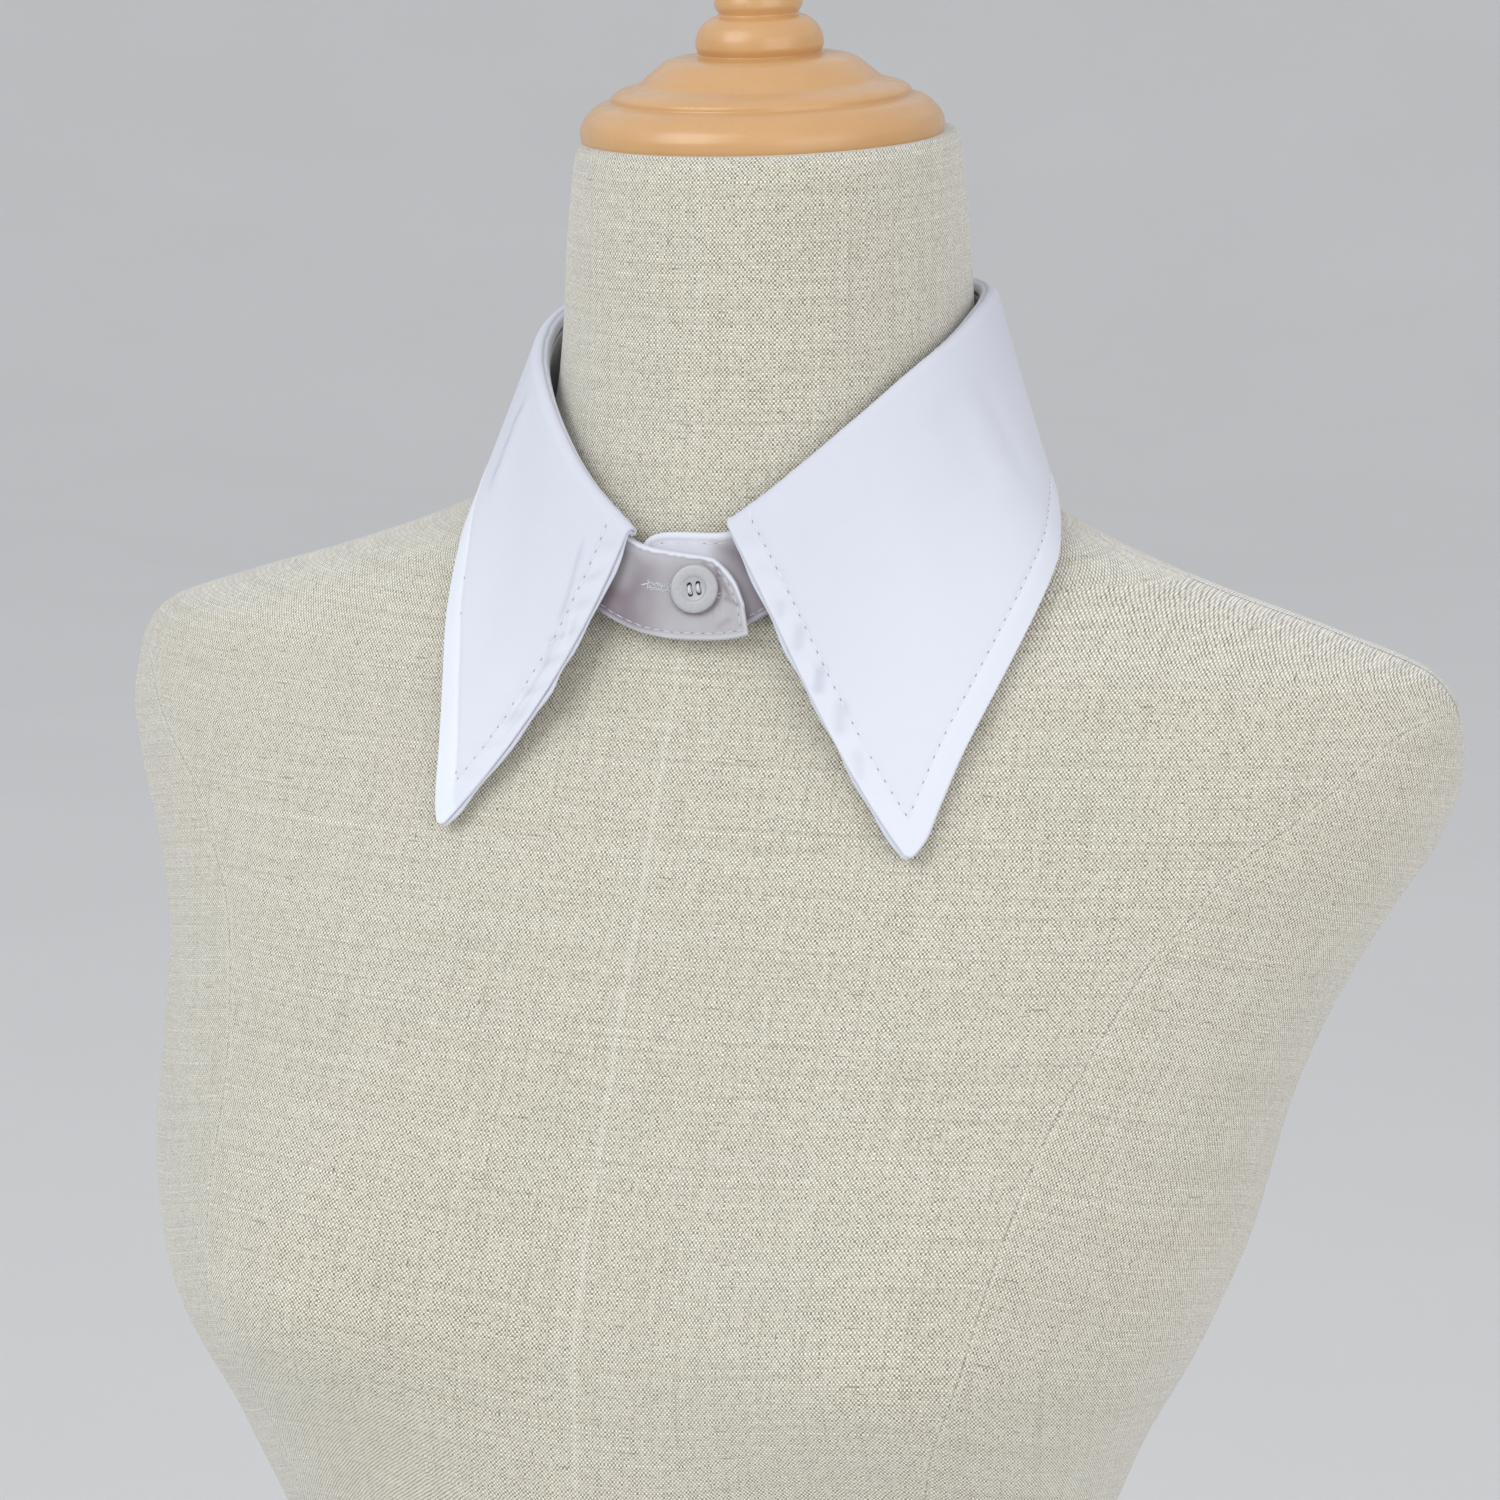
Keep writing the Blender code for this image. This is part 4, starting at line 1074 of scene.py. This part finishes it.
def stitches(name, path, normal, pitch, length, thick, seed, jitter=0.06, holes=1.0, thread=None):
    """Spindles along a path, one every pitch: each has five rings of six points, whose centre
    line rises in the middle and dips at both ends. The share of needle holes that show may
    change along the path; each hole is a small dark disc of painted shade."""
    draw = np.random.default_rng(seed)
    run = along_path(path)
    count = int(run[-1] / pitch)
    at = (np.arange(count) + 0.5) * run[-1] / count
    at = at + draw.normal(0, 0.05 * pitch, count)
    out = unit(read(at, run, normal))
    way = unit(read(at + 0.3, run, path) - read(at - 0.3, run, path))
    side = np.cross(out, way)
    way = unit(way + side * draw.normal(0, jitter, count)[:, None])
    side = np.cross(out, way)
    s = np.linspace(-0.5, 0.5, 5)
    fat = np.array([0.35, 0.85, 1.0, 0.85, 0.35])[:, None]
    a = np.arange(6) * np.pi / 3
    size = (length * draw.normal(1, 0.06, count))[:, None, None, None]
    sideways = 0.5 * thick * fat * np.cos(a)
    upwards = 0.5 * thick * (0.8 * fat * np.sin(a) + 0.55 - 4.4 * s[:, None] ** 2)
    body = (read(at, run, path)[:, None, None] + way[:, None, None] * s[None, :, None, None] * size
            + side[:, None, None] * sideways[None, ..., None] + out[:, None, None] * upwards[None, ..., None])
    faces = [many(f, count, 30) for f in closed_rings(body[0])]
    made = [piece(name, body.reshape(-1, 3), faces, thread or thread_white)]
    # a small dark disc of painted shade at each needle hole that shows, between the stitches
    between = at[:-1] + 0.5 * np.diff(at)
    seen = draw.random(count - 1) < np.interp(between, run, holes + 0 * run)
    if seen.any():
        centre = read(between, run, path)[seen, None]
        along, aside, up = [part[:-1][seen, None] for part in (way, side, out)]
        ring = along * np.cos(a)[None, :, None] * 0.58 + aside * np.sin(a)[None, :, None] * 0.19
        points = np.stack([centre + ring - up * 0.20, centre + ring * 0.8 + up * 0.035], 1)
        faces = [many(f, seen.sum(), 12) for f in closed_rings(points[0])]
        made.append(piece(name + "_holes", points.reshape(-1, 3), faces, needle_shade))
    return made


# %% Where the fall's stitching runs
def level_row(field, level, rows, back=False):
    """Along each given row of the grid, the place where a distance first reaches a level."""
    picked = field[::-1, rows] if back else field[:, rows]
    reached = np.argmax(picked > level, axis=0)
    before = np.maximum(reached - 1, 0)
    k = np.arange(len(rows))
    lo, hi = picked[before, k], picked[reached, k]
    place = before + np.clip((level - lo) / np.maximum(hi - lo, 1e-6), 0, 1)
    return field.shape[0] - 1 - place if back else place


def join(*legs):
    """Rows and columns of a route, from legs that each give a row, a column and what to keep."""
    return [np.concatenate([leg[part][leg[2]] for leg in legs]) for part in (0, 1)]


walk_rows = np.arange(ARC_ROWS - 4, fall_grid.shape[1] - 1)
walk_columns = np.arange(len(fall_turns))
right_i = level_row(front_right, TOPSTITCH, walk_rows)
left_i = level_row(front_left, TOPSTITCH, walk_rows, back=True)
hem_j = level_row(to_hem.T, TOPSTITCH, walk_columns, back=True)
right_ok, left_ok = [grid_at(to_hem, i, walk_rows) > TOPSTITCH for i in (right_i, left_i)]
hem_ok = grid_at(np.minimum(front_right, front_left), walk_columns, hem_j) > TOPSTITCH
route = join((right_i, walk_rows, right_ok), (walk_columns, hem_j, hem_ok),
             (left_i[::-1], walk_rows[::-1], left_ok[::-1]))
fall_path, fall_path_normal = grid_at(fall_skin, *route), unit(grid_at(fall_normal, *route))
path_turn = np.interp(route[0], walk_columns, fall_turns)
on_left_hem = (path_turn > 200) & (np.arange(len(path_turn)) < right_ok.sum() + hem_ok.sum())
topstitch = stitches("fall_topstitch", fall_path, fall_path_normal, 3.45, 2.5, 0.30, seed=4,
                     holes=np.where(on_left_hem, 0.12, 0.96))
print("topstitching is", round(float(along_path(fall_path)[-1])), "mm long")

# %% Where the band's stitching runs
band_i = np.arange(len(band_turns))
end_rows = np.arange(2, len(band_share) - 2)
low_j = level_row(above_low.T, STITCH_IN, band_i, back=True)
end_i = level_row(from_end, STITCH_IN, end_rows, back=True)
high_j = level_row(below_top.T, STITCH_IN, band_i)
low_ok = grid_at(from_end, band_i, low_j) > STITCH_IN
end_ok = grid_at(np.minimum(above_low, below_top), end_i, end_rows) > STITCH_IN
high_ok = (grid_at(from_end, band_i, high_j) > STITCH_IN) & (band_turns > 366)
route = join((band_i, low_j, low_ok), (end_i[::-1], end_rows[::-1], end_ok[::-1]),
             (band_i[::-1], high_j[::-1], high_ok[::-1]))
edge_stitch = stitches("band_edge_stitch", grid_at(outer_face, *route), unit(grid_at(band_normal, *route)),
                       2.8, 2.1, 0.26, seed=9, thread=shaded_band_thread)
under_i = band_i[(band_turns > -11) & (band_turns < 11)]
under_j = level_row(below_top.T, 2.7, under_i)
edge_stitch += stitches("underlap_stitch", grid_at(outer_face, under_i, under_j),
                        unit(grid_at(band_normal, under_i, under_j)), 2.8, 2.1, 0.26,
                        seed=12, holes=0.6, thread=shaded_band_thread)

# %% [markdown]
# ## The buttonhole and the button
#
# The buttonhole is a slit across the band, its edges covered in close zigzag stitches and its
# end in a bar. The button is a flat white shirt button: a round rim, a shallow dish and four
# holes, sewn on with two bars of thread. The holes are cut with a boolean, as a drill would.

# %% Buttonhole stitches
HOLE_FROM, HOLE_TO, HOLE_SHARE = 352.6, 369.4, 0.42
BAND_HIGH = 21.5   # millimetres


def on_band(turns, share):
    """Points of the band's outer face and their normals, between its grid's points."""
    i = np.interp(turns, band_turns, np.arange(len(band_turns)))
    j = np.interp(share, band_share, np.arange(len(band_share)))
    return grid_at(outer_face, i, j), unit(grid_at(band_normal, i, j))


draw = np.random.default_rng(21)
count = 46
hole_turns = np.linspace(HOLE_FROM, HOLE_TO, count)
zig = np.where(np.arange(count) % 2 == 0, 1.0, -1.0)
centre_share = HOLE_SHARE + 0.010 * np.sin(hole_turns * 0.5)
slant = np.linspace(-1, 1, 9) / BAND_HIGH
for label, shift in (("upper", -1.0), ("lower", 1.0)):
    share = centre_share + (shift * 0.62 + zig * 0.36 + draw.normal(0, 0.16, count)) / BAND_HIGH
    points, normals = on_band(hole_turns + draw.normal(0, 0.10, count), share)
    stitches("buttonhole_" + label, points + normals * 0.05, normals, 0.62, 1.05, 0.24, seed=30 + int(shift),
             jitter=0.25, holes=0.0, thread=shaded_band_thread)
bar = on_band(np.full(9, HOLE_FROM - 0.2), centre_share[0] + 1.2 * slant)
stitches("buttonhole_bar", *bar, 0.8, 1.0, 0.3, seed=40, jitter=0.2, holes=0.0, thread=shaded_band_thread)
tail = on_band(HOLE_FROM + np.linspace(-1.9, 0.3, 9), centre_share[0] + 0.05 / BAND_HIGH - 0.55 * slant)
stitches("buttonhole_tail", *tail, 2.3, 2.6, 0.25, seed=41, jitter=0.02, holes=0.0)

# %% The button's finish and body
# the white button is painted grey, with the shade that falls on the band
button_shell = mottled("button_shell", 0.28, (260.0, 3.0), (0.415, 0.415, 0.435), (0.47, 0.47, 0.49), 500.0,
                       0.00002, (700.0, 0.35, 0.65, 0.24, 0.36), Coat_Weight=0.3, Coat_Roughness=0.15)
button_axis = unit(polar(BUTTON_TURN, 25.0, 5.0))
BUTTON = np.array([(1.0, 0.0), (4.8, 0.0), (5.7, 0.2), (6.15, 0.7), (6.25, 1.15), (6.2, 1.55), (5.95, 1.85),
                   (5.5, 1.98), (4.4, 2.0), (3.65, 1.98), (3.35, 1.84), (3.1, 1.6), (2.7, 1.42), (2.0, 1.34),
                   (1.0, 1.30), (0.4, 1.30)], float)
HOLE_APART, HOLE_RADIUS, SPIN = 1.15, 0.72, np.radians(12)
button_grid = lathe(BUTTON, button_at, button_axis, 96, 64)
faces = closed_rings(button_grid)
shirt_button = piece("shirt_button", button_grid.reshape(-1, 3), faces, button_shell)
side = unit(np.cross((0, 0, 1), button_axis))
rise = np.cross(button_axis, side)
hole_x, hole_y = side * np.cos(SPIN) + rise * np.sin(SPIN), -side * np.sin(SPIN) + rise * np.cos(SPIN)
drill = np.array([(HOLE_RADIUS, -1.0), (HOLE_RADIUS, 1.0), (HOLE_RADIUS, 4.0)], float)
drills = [lathe(drill, button_at + HOLE_APART * (sx * hole_x + sy * hole_y), button_axis, 20, 4)
          for sx in (-1, 1) for sy in (-1, 1)]
faces = [f for k, d in enumerate(drills) for f in closed_rings(d, 80 * k)]
drill_bits = piece("drill_bits", np.concatenate(drills).reshape(-1, 3), faces, button_shell)
cut = shirt_button.modifiers.new("holes", "BOOLEAN")
cut.operation, cut.object, cut.solver = "DIFFERENCE", drill_bits, "EXACT"
drilled = bpy.data.meshes.new_from_object(shirt_button.evaluated_get(bpy.context.evaluated_depsgraph_get()))
shirt_button.modifiers.clear()
shirt_button.data = drilled
bpy.data.objects.remove(drill_bits)
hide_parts("button")
print("button has", len(drilled.polygons), "faces after drilling")

# %% Thread through the button
t = np.linspace(0, 1, 13)
a = np.arange(8)[None, :, None] * np.pi / 4
for bar, sx in enumerate((-1, 1)):
    for strand in range(3):
        start = button_at + HOLE_APART * (sx * hole_x - hole_y) + hole_x * (strand - 1) * 0.26
        height = 0.6 + 1.25 * np.sin(np.pi * t) ** 0.5 + 0.05 * strand
        path = (start + hole_y * (2 * HOLE_APART * t)[:, None] + button_axis * height[:, None]
                + hole_x * (0.06 * np.sin(3 * t + strand))[:, None])
        ways = unit(np.gradient(path, axis=0))
        sides = unit(np.cross(ways, button_axis + 0 * ways))
        ups = np.cross(sides, ways)
        tube = path[:, None] + 0.17 * (np.cos(a) * sides[:, None] + np.sin(a) * ups[:, None])
        faces = [f[:, ::-1] for f in closed_rings(tube)]
        piece(f"button_thread_{bar}_{strand}", tube.reshape(-1, 3), faces, shaded_band_thread)
